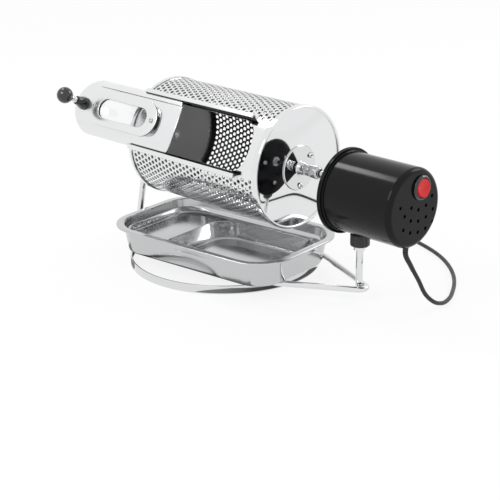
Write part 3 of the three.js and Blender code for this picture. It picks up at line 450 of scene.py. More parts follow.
def turned(profile, steps=96, bevel=0.0, is_ring=False):
    """Spins (radius, height) points in metres about Z. A ring's profile closes on itself."""
    shape = bmesh.new()
    verts = [shape.verts.new((radius, 0, height)) for radius, height in profile]
    pairs = list(zip(verts, verts[1:]))
    if is_ring:
        pairs.append((verts[-1], verts[0]))
    edges = [shape.edges.new(pair) for pair in pairs]
    bmesh.ops.spin(
        shape, geom=verts + edges, axis=(0, 0, 1), cent=(0, 0, 0), steps=steps,
        angle=2 * math.pi, use_merge=True,
    )
    bmesh.ops.remove_doubles(shape, verts=shape.verts, dist=weld)
    bmesh.ops.dissolve_degenerate(shape, edges=shape.edges, dist=weld)
    bmesh.ops.recalc_face_normals(shape, faces=shape.faces)
    if bevel:
        soften(shape, bevel)
    return shape


def round_bar(radius, start, end, steps=32, bevel=0.0):
    return turned([(0, start), (radius, start), (radius, end), (0, end)], steps, bevel)


to_x = Matrix.Rotation(math.radians(90), 4, "Y")


def placed(shape, x, y, z, turn=None):
    """Turns a shape about the origin and then moves it."""
    if turn is not None:
        bmesh.ops.transform(shape, matrix=turn, verts=shape.verts)
    bmesh.ops.translate(shape, vec=(x, y, z), verts=shape.verts)
    return shape


def merged(*shapes):
    """One shape from several, which are used up."""
    whole = bmesh.new()
    for shape in shapes:
        part = bpy.data.meshes.new("part")
        shape.to_mesh(part)
        shape.free()
        whole.from_mesh(part)
        bpy.data.meshes.remove(part)
    return whole


def add_piece(name, shape, material, body, nodes=(), sharp=35, inner=None):
    """Makes the finished piece: smooth faces, sharp corners, its finish, painted shade as its inner finish,
    its body and its nodes.
    """
    for face in shape.faces:
        face.smooth = True
    for edge in shape.edges:
        edge.smooth = len(edge.link_faces) == 2 and edge.calc_face_angle() < math.radians(sharp)
    mesh = bpy.data.meshes.new(name)
    shape.to_mesh(mesh)
    shape.free()
    mesh.materials.append(material)
    if inner is not None:
        mesh.materials.append(inner)
    piece = link_object(name, mesh)
    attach(piece, body)
    if nodes:
        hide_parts(*nodes)
    return piece


# %% [markdown]
# ## The mains lead
# The thin black lead leaves the underside of the motor, drops to the table and runs behind the
# drum. The spare length is wound in a flat coil of two layers, with the plug beside it. The
# lead is one curve: first the points of its free run, then the turns of the coil from a loop.

# %% The lead's run
cord_diameter = 4 * mm
grommet_low, grommet_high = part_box("cord_grommet")
mouth_gap = 0.3 * mm
cord_exit = Vector((
    (grommet_low.x + grommet_high.x) / 2, (grommet_low.y + grommet_high.y) / 2, grommet_low.z - mouth_gap,
))
cord_route = [
    (0, 0, 0), (0, 0, -6), (4, 3, -17), (9, 8.5, -31), (14, 15, -47), (17, 24, -55.5),
    (17, 36, -60), (13, 52, -61.5), (4, 70, -61.9), (-20, 104, -61.9), (-58, 136, -61.9),
    (-110, 158, -61.9), (-170, 170, -61.9), (-230, 172, -61.9), (-262, 172, -61.9),
]
coil_radius = 28 * mm
coil_pitch = 4.7 * mm
coil_rise = 4.6 * mm
coil_turns = 5
coil_steps = 16
coil_lead_in = 5 * mm
coil_tail = 25 * mm
lead_steps = 8
print("lead leaves at", [round(v, 4) for v in cord_exit])


# %% The coil's turns
def smooth_step(value):
    value = min(max(value, 0), 1)
    return value * value * (3 - 2 * value)


def coil_points(center):
    """The lead winds in on the table, climbs half way and winds out again on top."""
    points = []
    for i in range(coil_turns * coil_steps + 1):
        turn = i / coil_steps
        inward = min(turn, coil_turns - turn)
        radius = coil_radius - coil_pitch * inward
        angle = math.pi / 2 + 2 * math.pi * turn
        climb = smooth_step(turn - coil_turns / 2 + 0.5)
        points.append(center + Vector((
            radius * math.cos(angle), radius * math.sin(angle), coil_rise * climb,
        )))
    return points


# %% Helpers for a smooth lead
def with_handles(points):
    """Each point with its two curve handles, a third of the way to its neighbours."""
    handles = []
    for i, here in enumerate(points):
        back = here - points[max(i - 1, 0)]
        ahead = points[min(i + 1, len(points) - 1)] - here
        if i == 0:
            back = ahead
        if i == len(points) - 1:
            ahead = back
        along = (back.normalized() * ahead.length + ahead.normalized() * back.length).normalized()
        handles.append((here - along * back.length / 3, here, here + along * ahead.length / 3))
    return handles


def points_on(handles, steps):
    """Places along the curve that the handles give."""
    run = [handles[0][1]]
    for start, end in zip(handles, handles[1:]):
        run += interpolate_bezier(start[1], start[2], end[0], end[1], steps + 1)[1:]
    return run


def bent_lead(name, handles, radius):
    """A round lead on one smooth curve."""
    data = bpy.data.curves.new(name, "CURVE")
    data.dimensions = "3D"
    data.resolution_u = lead_steps
    data.bevel_depth = radius
    data.bevel_resolution = 5
    data.use_fill_caps = True
    spline = data.splines.new("BEZIER")
    spline.bezier_points.add(len(handles) - 1)
    for point, (left, here, right) in zip(spline.bezier_points, handles):
        point.co = here
        point.handle_left_type = "FREE"
        point.handle_right_type = "FREE"
        point.handle_left = left
        point.handle_right = right
    return link_object(name, data)


# %% Mains lead
route = [cord_exit + Vector(point) * mm for point in cord_route]
coil_center = route[-1] - Vector((mouth_gap + coil_lead_in, coil_radius, 0))
turns = coil_points(coil_center)
tail = turns[-1] - Vector((coil_tail, 0, 0))
lead_handles = with_handles([*route, *turns, tail])
lead_points = points_on(lead_handles, lead_steps)
mains_lead = bent_lead("mains_lead", lead_handles, cord_diameter / 2)
mains_lead.data.materials.append(lead_rubber)
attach(mains_lead, "stand")
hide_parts("cord_free", "cord_coil")

# %% [markdown]
# A soft sleeve guides the lead out of its grommet. It follows the lead's own line and tapers
# down to it, so that the lead never bends sharply at the edge of the housing.

# %% Sizes of the grommet and the strain relief
flange_radius = (grommet_high.x - grommet_low.x) / 2
relief_start = 0.7 * mm
relief_end = 0.15 * mm
relief_length = 24 * mm
relief_reach = 5 * lead_steps
grommet_height = grommet_high.z - grommet_low.z
grommet_neck = 5 * mm
grommet_neck_radius = 2.7 * mm
grommet_edge = 0.5 * mm
flange_face_share = 0.86
print("grommet", round(2 * flange_radius / mm, 1), "mm across")

# %% [markdown]
# A piece that is neither turned nor cut from flat sheet can be skinned. A ring of vertices is
# extruded again and again, and each new ring is moved to its own places, so that the skin follows
# any outline.

# %% Skinning over rings
def next_ring(shape, ring):
    """Extrudes a closed ring of vertices once and gives the new ring in the same order."""
    kept = set(ring)
    edges = list({edge for vert in ring for edge in vert.link_edges if edge.other_vert(vert) in kept})
    made = bmesh.ops.extrude_edge_only(shape, edges=edges)["geom"]
    fresh = {item for item in made if isinstance(item, bmesh.types.BMVert)}
    return [
        next(edge.other_vert(vert) for edge in vert.link_edges if edge.other_vert(vert) in fresh)
        for vert in ring
    ]


def lofted(rings, capped=True):
    """Skins a stack of rings of places. Its ends are filled, or the last ring joins the first."""
    shape = bmesh.new()
    ring = bmesh.ops.create_circle(shape, segments=len(rings[0]), radius=1, cap_ends=capped)["verts"]
    for step, places in enumerate(rings):
        if step:
            ring = next_ring(shape, ring)
        for vert, place in zip(ring, places):
            vert.co = place
    if capped:
        shape.faces.new(ring)
    else:
        open_edges = [edge for edge in shape.edges if len(edge.link_faces) == 1]
        bmesh.ops.bridge_loops(shape, edges=open_edges)
    bmesh.ops.recalc_face_normals(shape, faces=shape.faces)
    return shape


def polar_ring(radius_at, height, count):
    """Places round Z, at a radius that may change with the angle."""
    angles = [2 * math.pi * i / count for i in range(count)]
    return [Vector((radius_at(a) * math.cos(a), radius_at(a) * math.sin(a), height)) for a in angles]


def tapered_sleeve(points, start_radius, end_radius, sides=20):
    """A round sleeve that follows points and narrows along them."""
    last = len(points) - 1
    rings = []
    for step, point in enumerate(points):
        along = (points[min(step + 1, last)] - points[max(step - 1, 0)]).normalized()
        turn = along.to_track_quat("Z", "Y").to_matrix()
        radius = start_radius + (end_radius - start_radius) * step / last
        rings.append([point + turn @ place for place in polar_ring(lambda angle: radius, 0, sides)])
    return lofted(rings)


# %% Grommet and strain relief
grommet_flange = grommet_height - grommet_neck
grommet_shape = placed(turned([
    (0, 0), (flange_radius * flange_face_share, 0), (flange_radius, grommet_edge),
    (flange_radius, grommet_flange), (grommet_neck_radius, grommet_flange),
    (grommet_neck_radius, grommet_height), (0, grommet_height),
], 32, 0.15 * mm), cord_exit.x, cord_exit.y, grommet_low.z)
add_piece("lead_grommet", grommet_shape, lead_rubber, "stand", ["cord_grommet"])
relief_line = [point for point in lead_points[:relief_reach] if (point - cord_exit).length < relief_length]
relief_shape = tapered_sleeve(relief_line, cord_diameter / 2 + relief_start, cord_diameter / 2 + relief_end)
add_piece("strain_relief", relief_shape, lead_rubber, "stand")
print("strain relief rings", len(relief_line))

# %% [markdown]
# ## The drum's sheet
# The drum is one sheet of punched steel rolled into a tube. The holes lie in a triangular
# pattern, and the sheet is left plain round the mouth where the door runs. The honest way to
# make it is the way it is really made: lay the sheet flat, punch it, cut its mouth and its ends,
# then roll it. Each hole sits in its own six-sided cell, so a sheet of cells tiles without gaps.

# %% The drum's driving sizes
coupling_low, coupling_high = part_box("shaft_coupling")
axis_y = (coupling_low.y + coupling_high.y) / 2
axis_z = (coupling_low.z + coupling_high.z) / 2
cap_low, cap_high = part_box("right_end_cap")
far_cap_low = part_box("left_end_cap")[0]
shell_low, shell_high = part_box("drum_shell")
bead_height = 1.2 * mm
bead_width = 3 * mm
drum_right = cap_high.x - bead_height
drum_left = far_cap_low.x + bead_height
drum_radius = (cap_high.z - cap_low.z) / 2
shell_wall = 1 * mm
shell_radius = drum_radius - 1.3 * mm
door_angle = 28.2
mouth_half_angle = 25.5
mouth_left = drum_right - 156 * mm
mouth_right = drum_right - 14 * mm
mouth_bulge = 20 * mm
plain_half_angle = 30.6
plain_right = 4.5 * mm
plain_left = 1.2 * mm
door_turn = Matrix.Rotation(math.radians(90 - door_angle), 4, "X")
print("drum", round((drum_right - drum_left) / mm), "mm long,", round(2 * drum_radius / mm), "mm across")

# %% Rolling and cutting a flat sheet
shortest_side = 0.01 * mm
outline_tolerance = 0.0001 * mm


def bend(shape, radius):
    """Rolls a flat sheet round X: Y becomes the arc's length and Z the height above it."""
    for vert in shape.verts:
        angle = vert.co.y / radius
        height = radius + vert.co.z
        vert.co = Vector((vert.co.x, height * math.sin(angle), height * math.cos(angle)))


def on_mouth(shape):
    """Turns a shape that faces up so that it faces out through the drum's mouth."""
    return placed(shape, 0, axis_y, axis_z, door_turn)


def bowed_outline(left, right, half, left_bulge, right_bulge, steps=20):
    """A long outline with bowed ends, going round to the left."""
    points = []
    for i in range(steps + 1):
        angle = math.pi * (i / steps - 0.5)
        points.append(Vector((right - right_bulge + right_bulge * math.cos(angle), half * math.sin(angle))))
    for i in range(steps + 1):
        angle = math.pi * (i / steps + 0.5)
        points.append(Vector((left + left_bulge + left_bulge * math.cos(angle), half * math.sin(angle))))
    return points


def unrolled(outline, radius):
    """The outline as it lies on the flat sheet before the sheet is rolled."""
    return [Vector((p.x, radius * math.asin(max(-1, min(1, p.y / radius))))) for p in outline]


def gap_to_line(point, start, end):
    side = end - start
    share = max(0, min(1, (point - start).dot(side) / side.length_squared))
    return (point - start - side * share).length


def cut_near(shape, faces, place, direction, tolerance):
    """Splits only the given faces of a sheet along a plane."""
    edges = {edge for face in faces for edge in face.edges}
    verts = {vert for face in faces for vert in face.verts}
    bmesh.ops.bisect_plane(
        shape, geom=[*faces, *edges, *verts], dist=tolerance, plane_co=place, plane_no=direction,
    )


def cut_outline(shape, outline, drop_inside, reach=7 * mm):
    """Splits a flat sheet along a convex outline and drops what lies on one side of it."""
    sides = list(zip(outline, outline[1:] + outline[:1]))
    sides = [(a, b) for a, b in sides if (b - a).length > shortest_side]
    for start, end in sides:
        faces = [f for f in shape.faces if gap_to_line(f.calc_center_median().xy, start, end) < reach]
        side = end - start
        cut_near(shape, faces, (*start, 0), (side.y, -side.x, 0), outline_tolerance)

    def is_inside(point):
        return all((b - a).cross(point - a) > 0 for a, b in sides)

    doomed = [f for f in shape.faces if is_inside(f.calc_center_median().xy) == drop_inside]
    bmesh.ops.delete(shape, geom=doomed, context="FACES")
    return shape


# %% [markdown]
# A cell is a hexagon with a round hole bridged to its rim. Two kinds are laid: punched cells where
# the sheet is open and plain ones round the mouth and at the ends. The plain part is welded and
# has its mouth cut before the punched part joins it, so that the cut splits plain cells alone.

# %% Cells of the sheet
hole_radius = 1.95 * mm
hole_sides = 12
rows_round = 64
row_pitch = 2 * math.pi * shell_radius / rows_round
column_pitch = row_pitch * math.cos(math.radians(30))
cell_radius = row_pitch / math.sqrt(3)


def cell_mesh(name, has_hole):
    """One six-sided cell of the sheet, with or without its punched hole."""
    cell = bmesh.new()
    bmesh.ops.create_circle(cell, segments=6, radius=cell_radius, cap_ends=not has_hole)
    bmesh.ops.rotate(cell, matrix=Matrix.Rotation(math.pi / 2, 3, "Z"), verts=cell.verts)
    if has_hole:
        bmesh.ops.subdivide_edges(cell, edges=cell.edges[:], cuts=1)
        bmesh.ops.create_circle(cell, segments=hole_sides, radius=hole_radius)
        bmesh.ops.bridge_loops(cell, edges=cell.edges[:])
    for face in cell.faces:
        if face.normal.z < 0:
            face.normal_flip()
    mesh = bpy.data.meshes.new(name)
    cell.to_mesh(mesh)
    cell.free()
    return mesh


def lay_cells(shape, mesh, places):
    """Adds a copy of one cell at every place."""
    for x, s in places:
        first = len(shape.verts)
        shape.from_mesh(mesh)
        shape.verts.ensure_lookup_table()
        bmesh.ops.translate(shape, vec=(x, s, 0), verts=shape.verts[first:])


punched = cell_mesh("punched_cell", True)
plain = cell_mesh("plain_cell", False)
print("cell pitch", round(row_pitch / mm, 2), "mm")

# %% Perforated shell
spare_columns = 3
sheet_left, sheet_right = shell_low.x, shell_high.x
columns = int((sheet_right - sheet_left) / column_pitch) + spare_columns
cells = {"punched": [], "plain": []}
for column in range(columns):
    x = sheet_right - plain_right - hole_radius - (column - 1) * column_pitch
    for row in range(rows_round):
        s = (row + 0.5 * (column % 2) - rows_round / 2) * row_pitch
        angle = abs(math.degrees(s / shell_radius))
        in_length = sheet_left + plain_left + hole_radius < x < sheet_right - plain_right
        kind = "punched" if angle > plain_half_angle and in_length else "plain"
        cells[kind].append((x, s))

end_cut_tolerance = 0.005 * mm
seam_weld = 0.02 * mm
shell = bmesh.new()
lay_cells(shell, plain, cells["plain"])
bmesh.ops.remove_doubles(shell, verts=shell.verts, dist=hair)
mouth_half = shell_radius * math.sin(math.radians(mouth_half_angle))
mouth_outline = unrolled(
    bowed_outline(mouth_left, mouth_right, mouth_half, mouth_bulge, mouth_bulge), shell_radius,
)
cut_outline(shell, mouth_outline, drop_inside=True)
punched_sheet = bmesh.new()
lay_cells(punched_sheet, punched, cells["punched"])
shell = merged(shell, punched_sheet)
for end, outward in ((sheet_left, -1), (sheet_right, 1)):
    faces = [f for f in shell.faces if abs(f.calc_center_median().x - end) < 2 * row_pitch]
    cut_near(shell, faces, (end, 0, 0), (outward, 0, 0), end_cut_tolerance)
    outside = [f for f in shell.faces if (f.calc_center_median().x - end) * outward > 0]
    bmesh.ops.delete(shell, geom=outside, context="FACES")
bend(shell, shell_radius)
bmesh.ops.remove_doubles(shell, verts=shell.verts, dist=seam_weld)
print("holes in the drum", len(cells["punched"]), "faces", len(shell.faces))
# The solidified wall's inner faces take the near-black steel: painted shade inside the drum.
drum_sheet = add_piece(
    "perforated_drum", on_mouth(shell), perforated_steel, "drum", ["drum_shell"],
    sharp=60, inner=painted_shade_steel,
)
wall = drum_sheet.modifiers.new("wall", "SOLIDIFY")
wall.thickness = shell_wall
wall.offset = -1
wall.material_offset = 1

# %% [markdown]
# ## The drum's ends
# Each end is a pressed disc, polished like a mirror, with a rolled bead at its edge and a short
# skirt that holds the sheet. Turned pieces like these are spun from a profile. The real disc
# stands a little proud in its middle. Its mesh stays flat here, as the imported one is, and the
# finish tilts the shading, because it is the curved mirror image that shows and not the height.

# %% End caps
spindle_radius = 3 * mm
cap_wall = 1 * mm
disc_bore = 3.5 * mm
bead_steps = 10
right_skirt = 5 * mm
left_skirt = 3 * mm
dome_radius = 420 * mm
dome_cone = 0.08
domed_steel = domed(
    finish_material("domed_steel", (0.78, 0.785, 0.79), 1, (18, 0.03, 0.08)),
    (0, axis_y, axis_z), dome_radius, dome_cone,
)


def along_x(facing):
    """Turns a piece that stands on Z so that it points along +X or -X."""
    return Matrix.Rotation(math.radians(90 * facing), 4, "Y")


def end_cap_shape(skirt):
    """A disc with a half-round bead on its rim and a skirt behind it."""
    bead = bead_width / 2
    crown = [
        (drum_radius - bead - bead * math.cos(angle), bead_height * math.sin(angle))
        for angle in (math.pi * i / bead_steps for i in range(bead_steps + 1))
    ]
    return turned([
        (disc_bore, 0), *crown, (drum_radius, -skirt), (drum_radius - cap_wall, -skirt),
        (drum_radius - cap_wall, -cap_wall), (disc_bore, -cap_wall),
    ], 160, 0, True)


for side, face, facing, skirt in (("right", drum_right, 1, right_skirt), ("left", drum_left, -1, left_skirt)):
    cap = end_cap_shape(skirt)
    # The disc's inward faces within the rim get the darker grey: painted shade inside the drum.
    for flat in cap.faces:
        is_within = flat.calc_center_median().xy.length < drum_radius - 2 * cap_wall
        flat.material_index = int(is_within and flat.normal.z < -0.5)
    placed(cap, face, axis_y, axis_z, along_x(facing))
    add_piece(
        side + "_disc", cap, domed_steel, "drum", [side + "_end_cap"], sharp=40,
        inner=painted_shade_cap,
    )
print("end caps", round(2 * drum_radius / mm), "mm across")

# %% [markdown]
# A screwed hub plate carries each spindle. Its screws are button heads with a six-sided socket:
# the head is spun, and a hexagon is bridged to its open top and extruded downwards, which leaves
# a real hollow for the light to catch.

# %% Hub plates and their screws
hub_gap = 0.3 * mm
hub_bore = 3.3 * mm
hub_radius = 22 * mm
hub_thickness = 1.6 * mm
hub_edge = 0.7 * mm
boss_radius = 6 * mm
boss_height = 9.6 * mm
boss_fillet = 2 * mm
fillet_shares = ((1, 0), (0.3, 0.25), (0, 0.9))
screw_radius = 3 * mm
screw_height = 1.8 * mm
head_shares = ((0.45, 1), (0.75, 0.88), (0.96, 0.45), (1, 0), (0, 0))
socket_share = 0.38
socket_rim_share = 0.9
socket_depth_share = 0.6


def hub_shape():
    """A thin plate with a chamfered edge and a boss that runs out into it."""
    fillet = [
        (boss_radius + out * boss_fillet, hub_thickness + up * boss_fillet) for out, up in fillet_shares
    ]
    return turned([
        (hub_bore, 0), (hub_radius, 0), (hub_radius, hub_thickness - hub_edge),
        (hub_radius - hub_edge, hub_thickness), *fillet, (boss_radius, boss_height), (hub_bore, boss_height),
    ], 96, 0.3 * mm, True)


def socket_screw(head_radius, height):
    """A button head with a six-sided socket."""
    shape = turned([(head_radius * across, height * up) for across, up in head_shares], 36)
    rim = [e for e in shape.edges if len(e.link_faces) == 1]
    socket = bmesh.ops.create_circle(shape, segments=6, radius=head_radius * socket_share)["verts"]
    bmesh.ops.translate(shape, vec=(0, 0, height * socket_rim_share), verts=socket)
    ring = list({e for v in socket for e in v.link_edges})
    bmesh.ops.bridge_loops(shape, edges=rim + ring)
    deep = bmesh.ops.extrude_edge_only(shape, edges=ring)["geom"]
    low = [item for item in deep if isinstance(item, bmesh.types.BMVert)]
    bmesh.ops.translate(shape, vec=(0, 0, -height * socket_depth_share), verts=low)
    bmesh.ops.contextual_create(shape, geom=low)
    bmesh.ops.recalc_face_normals(shape, faces=shape.faces)
    return shape


def screws_at(nodes, facing, finish=chrome_plate):
    """Socket screws over CAD screws, on a face that looks along +X or -X."""
    for node in nodes:
        low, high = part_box(node)
        seat = low.x if facing > 0 else high.x
        screw = socket_screw(screw_radius, screw_height)
        placed(screw, seat, (low.y + high.y) / 2, (low.z + high.z) / 2, along_x(facing))
        add_piece(node + "_head", screw, finish, frame["nodes"][node]["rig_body"], [node])


for side, face, facing in (("right", drum_right, 1), ("left", drum_left, -1)):
    hub = placed(hub_shape(), face + facing * hub_gap, axis_y, axis_z, along_x(facing))
    add_piece(side + "_hub", hub, polished_steel, "drum", [side + "_hub_plate"])
    screws_at([f"{side}_hub_screw_{i}" for i in (1, 2, 3)], facing)
print("hub plates", round(2 * hub_radius / mm), "mm across")

# %% [markdown]
# ## Shafts and coupling
# The drum hangs on two spindles. On the motor's side a sleeve joins the spindle to the motor's
# shaft, and two set screws lock it. Round bars are turned too, with a small broken edge. A nut is
# skinned over rings of places instead, because its outline has six sides.

# %% Shafts
def bar_along_x(node, name):
    """A round bar with broken ends in the place of a CAD bar that lies along X."""
    low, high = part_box(node)
    radius = (high.z - low.z) / 2
    bar = round_bar(radius, low.x, high.x, 48, 0.3 * mm)
    placed(bar, 0, (low.y + high.y) / 2, (low.z + high.z) / 2, to_x)
    add_piece(name, bar, chrome_plate, "drum", [node])


for node in ("right_spindle", "drive_shaft", "left_spindle"):
    bar_along_x(node, node + "_bar")
print("shafts done")

# %% Spindle nuts
shaft_gap = 0.3 * mm
nut_countersink = 0.4 * mm
faced_share = 0.92
nut_edge_share = 0.12


def hex_radius(corner):
    """Radius of a hexagon at an angle, for its corner radius."""
    side_angle = math.pi / 3
    return lambda angle: corner * math.cos(side_angle / 2) / math.cos(angle % side_angle - side_angle / 2)


def hex_nut(corner, bore, height, count=60):
    """A hexagon nut with its corners turned down, its seat at height 0."""
    flat = hex_radius(corner)
    faced = faced_share * corner
    edge = nut_edge_share * height

    def turned_down(angle):
        return min(flat(angle), faced)

    def wide_bore(angle):
        return bore + nut_countersink

    return lofted([
        polar_ring(turned_down, 0, count), polar_ring(flat, edge, count),
        polar_ring(flat, height - edge, count), polar_ring(turned_down, height, count),
        polar_ring(wide_bore, height, count),
        polar_ring(lambda angle: bore, height - nut_countersink, count),
        polar_ring(lambda angle: bore, nut_countersink, count),
        polar_ring(wide_bore, 0, count),
    ], capped=False)


for side in ("right", "left"):
    low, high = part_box(side + "_spindle_nut")
    nut = hex_nut((high.z - low.z) / 2, spindle_radius + shaft_gap, high.x - low.x)
    placed(nut, low.x, axis_y, axis_z, to_x)
    add_piece(side + "_inner_nut", nut, zinc_plate, "drum", [side + "_spindle_nut"])
print("spindle nuts done")

# %% Coupling sleeve
sleeve_radius = (coupling_high.z - coupling_low.z) / 2
sleeve_bore = spindle_radius + shaft_gap
collar_radius = sleeve_radius - 0.7 * mm
collar_end = coupling_low.x + 6 * mm
groove_radius = collar_radius - 1.1 * mm
groove_width = 1.5 * mm
groove_slope = 0.3 * mm
nose_length = 2 * mm
nose_radius = sleeve_radius - 1.6 * mm
set_screw_radius = 1.7 * mm
set_screw_height = 1 * mm
set_screw_seat = sleeve_radius - 0.9 * mm
set_screws = ((collar_end - 3 * mm, 10), (collar_end + 6 * mm, 40))
sleeve = turned([
    (sleeve_bore, coupling_low.x), (collar_radius, coupling_low.x), (collar_radius, collar_end),
    (groove_radius, collar_end + groove_slope), (groove_radius, collar_end + groove_width - groove_slope),
    (sleeve_radius, collar_end + groove_width), (sleeve_radius, coupling_high.x - nose_length),
    (nose_radius, coupling_high.x), (sleeve_bore, coupling_high.x),
], 64, 0.25 * mm, True)
placed(sleeve, 0, axis_y, axis_z, to_x)
screw_shapes = []
for x, turn in set_screws:
    outward = Matrix.Rotation(math.radians(90 - turn), 4, "X")
    screw = placed(socket_screw(set_screw_radius, set_screw_height), x, 0, set_screw_seat)
    screw_shapes.append(placed(screw, 0, axis_y, axis_z, outward))
coupling_sleeve = merged(sleeve, *screw_shapes)
add_piece("coupling_sleeve", coupling_sleeve, dark_chrome, "drum", ["shaft_coupling"])
print("coupling done")

# %% [markdown]
# ## Rails and door
# The door is a curved plate that slides along the mouth between two bent rails. A rail is drawn
# as its bent section, pulled out along the drum and then given its thickness, because its section
# is the same all the way to the tab at its right end.

# %% Sizes of the rails
rail_gap = 0.5 * mm
door_inner_radius = drum_radius + 1.6 * mm
door_sheet = 1 * mm
door_outer_radius = door_inner_radius + door_sheet
fold_thickness = 1 * mm
rail_sheet = 1.2 * mm
rail_outside = door_outer_radius + fold_thickness + rail_gap + rail_sheet
rail_foot_radius = shell_radius + 0.3 * mm + rail_sheet / 2
rail_web_angle = 29.2
rail_lip_angle = 25.0
rail_tab_angle = 34.6
rail_left = drum_left + 3.3 * mm
rail_right = drum_right - 24 * mm
rail_tab_length = 8 * mm
lip_steps = 4
print("rail outside", round(rail_outside / mm, 1), "mm from the axis")


# %% Rails
def at_angle(x, radius, degrees):
    """A place over the mouth: its radius from the drum's axis and its angle from the mouth's middle."""
    angle = math.radians(degrees)
    return Vector((x, radius * math.sin(angle), radius * math.cos(angle)))


def new_verts(made):
    """The vertices among what an extrusion made."""
    return [item for item in made["geom"] if isinstance(item, bmesh.types.BMVert)]


def rail_shape():
    """The rail's sheet: a lip over the door, a web down to the drum and a tab at the right end.

    Its faces towards the mouth and the drum get painted shade, dark as the gaps beside a door are.
    """
    lip_span = rail_web_angle - rail_lip_angle
    section = [
        at_angle(rail_left, rail_outside, rail_lip_angle + lip_span * i / lip_steps)
        for i in range(lip_steps + 1)
    ]
    section.append(at_angle(rail_left, rail_foot_radius, rail_web_angle))
    shape = bmesh.new()
    verts = [shape.verts.new(place) for place in section]
    edges = [shape.edges.new(pair) for pair in zip(verts, verts[1:])]
    for length in (rail_right - rail_tab_length - rail_left, rail_tab_length):
        fresh = new_verts(bmesh.ops.extrude_edge_only(shape, edges=edges))
        bmesh.ops.translate(shape, vec=(length, 0, 0), verts=fresh)
        edges = [e for e in shape.edges if e.verts[0] in fresh and e.verts[1] in fresh]
    foot = min(
        (e for e in shape.edges if abs((e.verts[0].co - e.verts[1].co).x) > 1 * mm),
        key=lambda e: (e.verts[0].co.yz.length, -e.verts[0].co.x - e.verts[1].co.x),
    )
    for vert in new_verts(bmesh.ops.extrude_edge_only(shape, edges=[foot])):
        vert.co = at_angle(vert.co.x, rail_foot_radius, rail_tab_angle)
    bmesh.ops.recalc_face_normals(shape, faces=shape.faces)
    bmesh.ops.solidify(shape, geom=shape.faces[:], thickness=rail_sheet)
    bmesh.ops.recalc_face_normals(shape, faces=shape.faces)
    soften(shape, 0.2 * mm)
    # Painted shade: the faces towards the mouth and down towards the drum take the near-black steel.
    for face in shape.faces:
        face.material_index = int(face.normal.y < -0.5 or face.normal.z < -0.7)
    return shape


for node, name, side in (("door_rail_top", "top_rail", 1), ("door_rail_bottom", "bottom_rail", -1)):
    rail = rail_shape()
    if side < 0:
        bmesh.ops.scale(rail, vec=(1, -1, 1), verts=rail.verts)
        bmesh.ops.reverse_faces(rail, faces=rail.faces)
    add_piece(name, on_mouth(rail), satin_steel, "drum", [node], inner=painted_shade_steel)
print("rails", round((rail_right - rail_left) / mm), "mm long")

# %% [markdown]
# The door is cut from a flat sheet, rolled and then given its thickness, like the drum's sheet.
# Along its top edge lies a second strip, its sheet folded over, which starts a little in from the
# left end. Both are cut to the same outline, so their edges meet.

# %% Sizes of the door
panel_low, panel_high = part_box("door_panel")
door_left, door_right = panel_low.x, panel_high.x
door_half_angle = 27.44
door_half = door_outer_radius * math.sin(math.radians(door_half_angle))
door_left_bulge = 24 * mm
door_right_bulge = 13 * mm
door_edge = 0.2 * mm
door_cell = 3 * mm
blank_margin = 1 * mm
blank_half = 32 * mm
cell_weld = 0.15 * mm
window_x = door_right - 75 * mm
slot_half = 10 * mm
slot_reach = 35.5 * mm
fold_angle = 20.6
fold_left = door_left + 21 * mm
fold_bulge = 5 * mm
fold_right_bulge = 2 * mm
fold_overrun = 4 * mm
print("door", round((door_right - door_left) / mm), "mm long")


# %% Door blank and rolling
def door_blank():
    """A flat sheet of square cells, a little larger than the door, cut to the door's outline."""
    left, right = door_left - blank_margin, door_right + blank_margin
    shape = bmesh.new()
    bmesh.ops.create_grid(
        shape, x_segments=round((right - left) / door_cell), y_segments=round(2 * blank_half / door_cell),
        size=0.5,
    )
    bmesh.ops.scale(shape, vec=(right - left, 2 * blank_half, 1), verts=shape.verts)
    bmesh.ops.translate(shape, vec=((left + right) / 2, 0, 0), verts=shape.verts)
    outline = bowed_outline(door_left, door_right, door_half, door_left_bulge, door_right_bulge)
    return cut_outline(shape, unrolled(outline, door_outer_radius), drop_inside=False)


def rolled_sheet(shape, thickness, radius):
    """Rolls a flat sheet to a radius, gives it its thickness inwards and breaks its edges."""
    bmesh.ops.remove_doubles(shape, verts=shape.verts, dist=cell_weld)
    bend(shape, radius)
    bmesh.ops.solidify(shape, geom=shape.faces[:], thickness=thickness)
    bmesh.ops.recalc_face_normals(shape, faces=shape.faces)
    soften(shape, door_edge, 2, math.radians(60), clamp=False)
    return shape


# %% Door panel
slot = bowed_outline(window_x - slot_reach, window_x + slot_reach, slot_half, slot_half, slot_half)
panel = cut_outline(door_blank(), slot, drop_inside=True)
rolled_sheet(panel, door_sheet, door_outer_radius)
fold_low = door_outer_radius * math.radians(fold_angle)
fold_high = door_outer_radius * math.radians(door_half_angle) + fold_overrun
fold_middle = (fold_low + fold_high) / 2
fold_outline = bowed_outline(
    fold_left, door_right + fold_overrun, fold_high - fold_middle, fold_bulge, fold_right_bulge,
)
fold = cut_outline(door_blank(), [p + Vector((0, fold_middle)) for p in fold_outline], drop_inside=False)
rolled_sheet(fold, fold_thickness, door_outer_radius + fold_thickness)
# The fold's edge faces take the near-black steel: painted shade for the gap along the fold.
for face in fold.faces:
    outward = Vector((0, *face.calc_center_median().yz)).normalized()
    face.material_index = int(abs(face.normal.dot(outward)) < 0.3)
door_plate = add_piece(
    "door_plate", on_mouth(merged(panel, fold)), satin_steel, "door", ["door_panel"],
    sharp=40, inner=painted_shade_steel,
)
print("door faces", len(door_plate.data.polygons))

# %% [markdown]
# ## Window and door knob
# A flat bright frame holds a pane over the slot in the door, with a button-head screw at each
# end. Frame and pane are skinned over rings of places with rounded corners, since their outline
# is the same at every height.

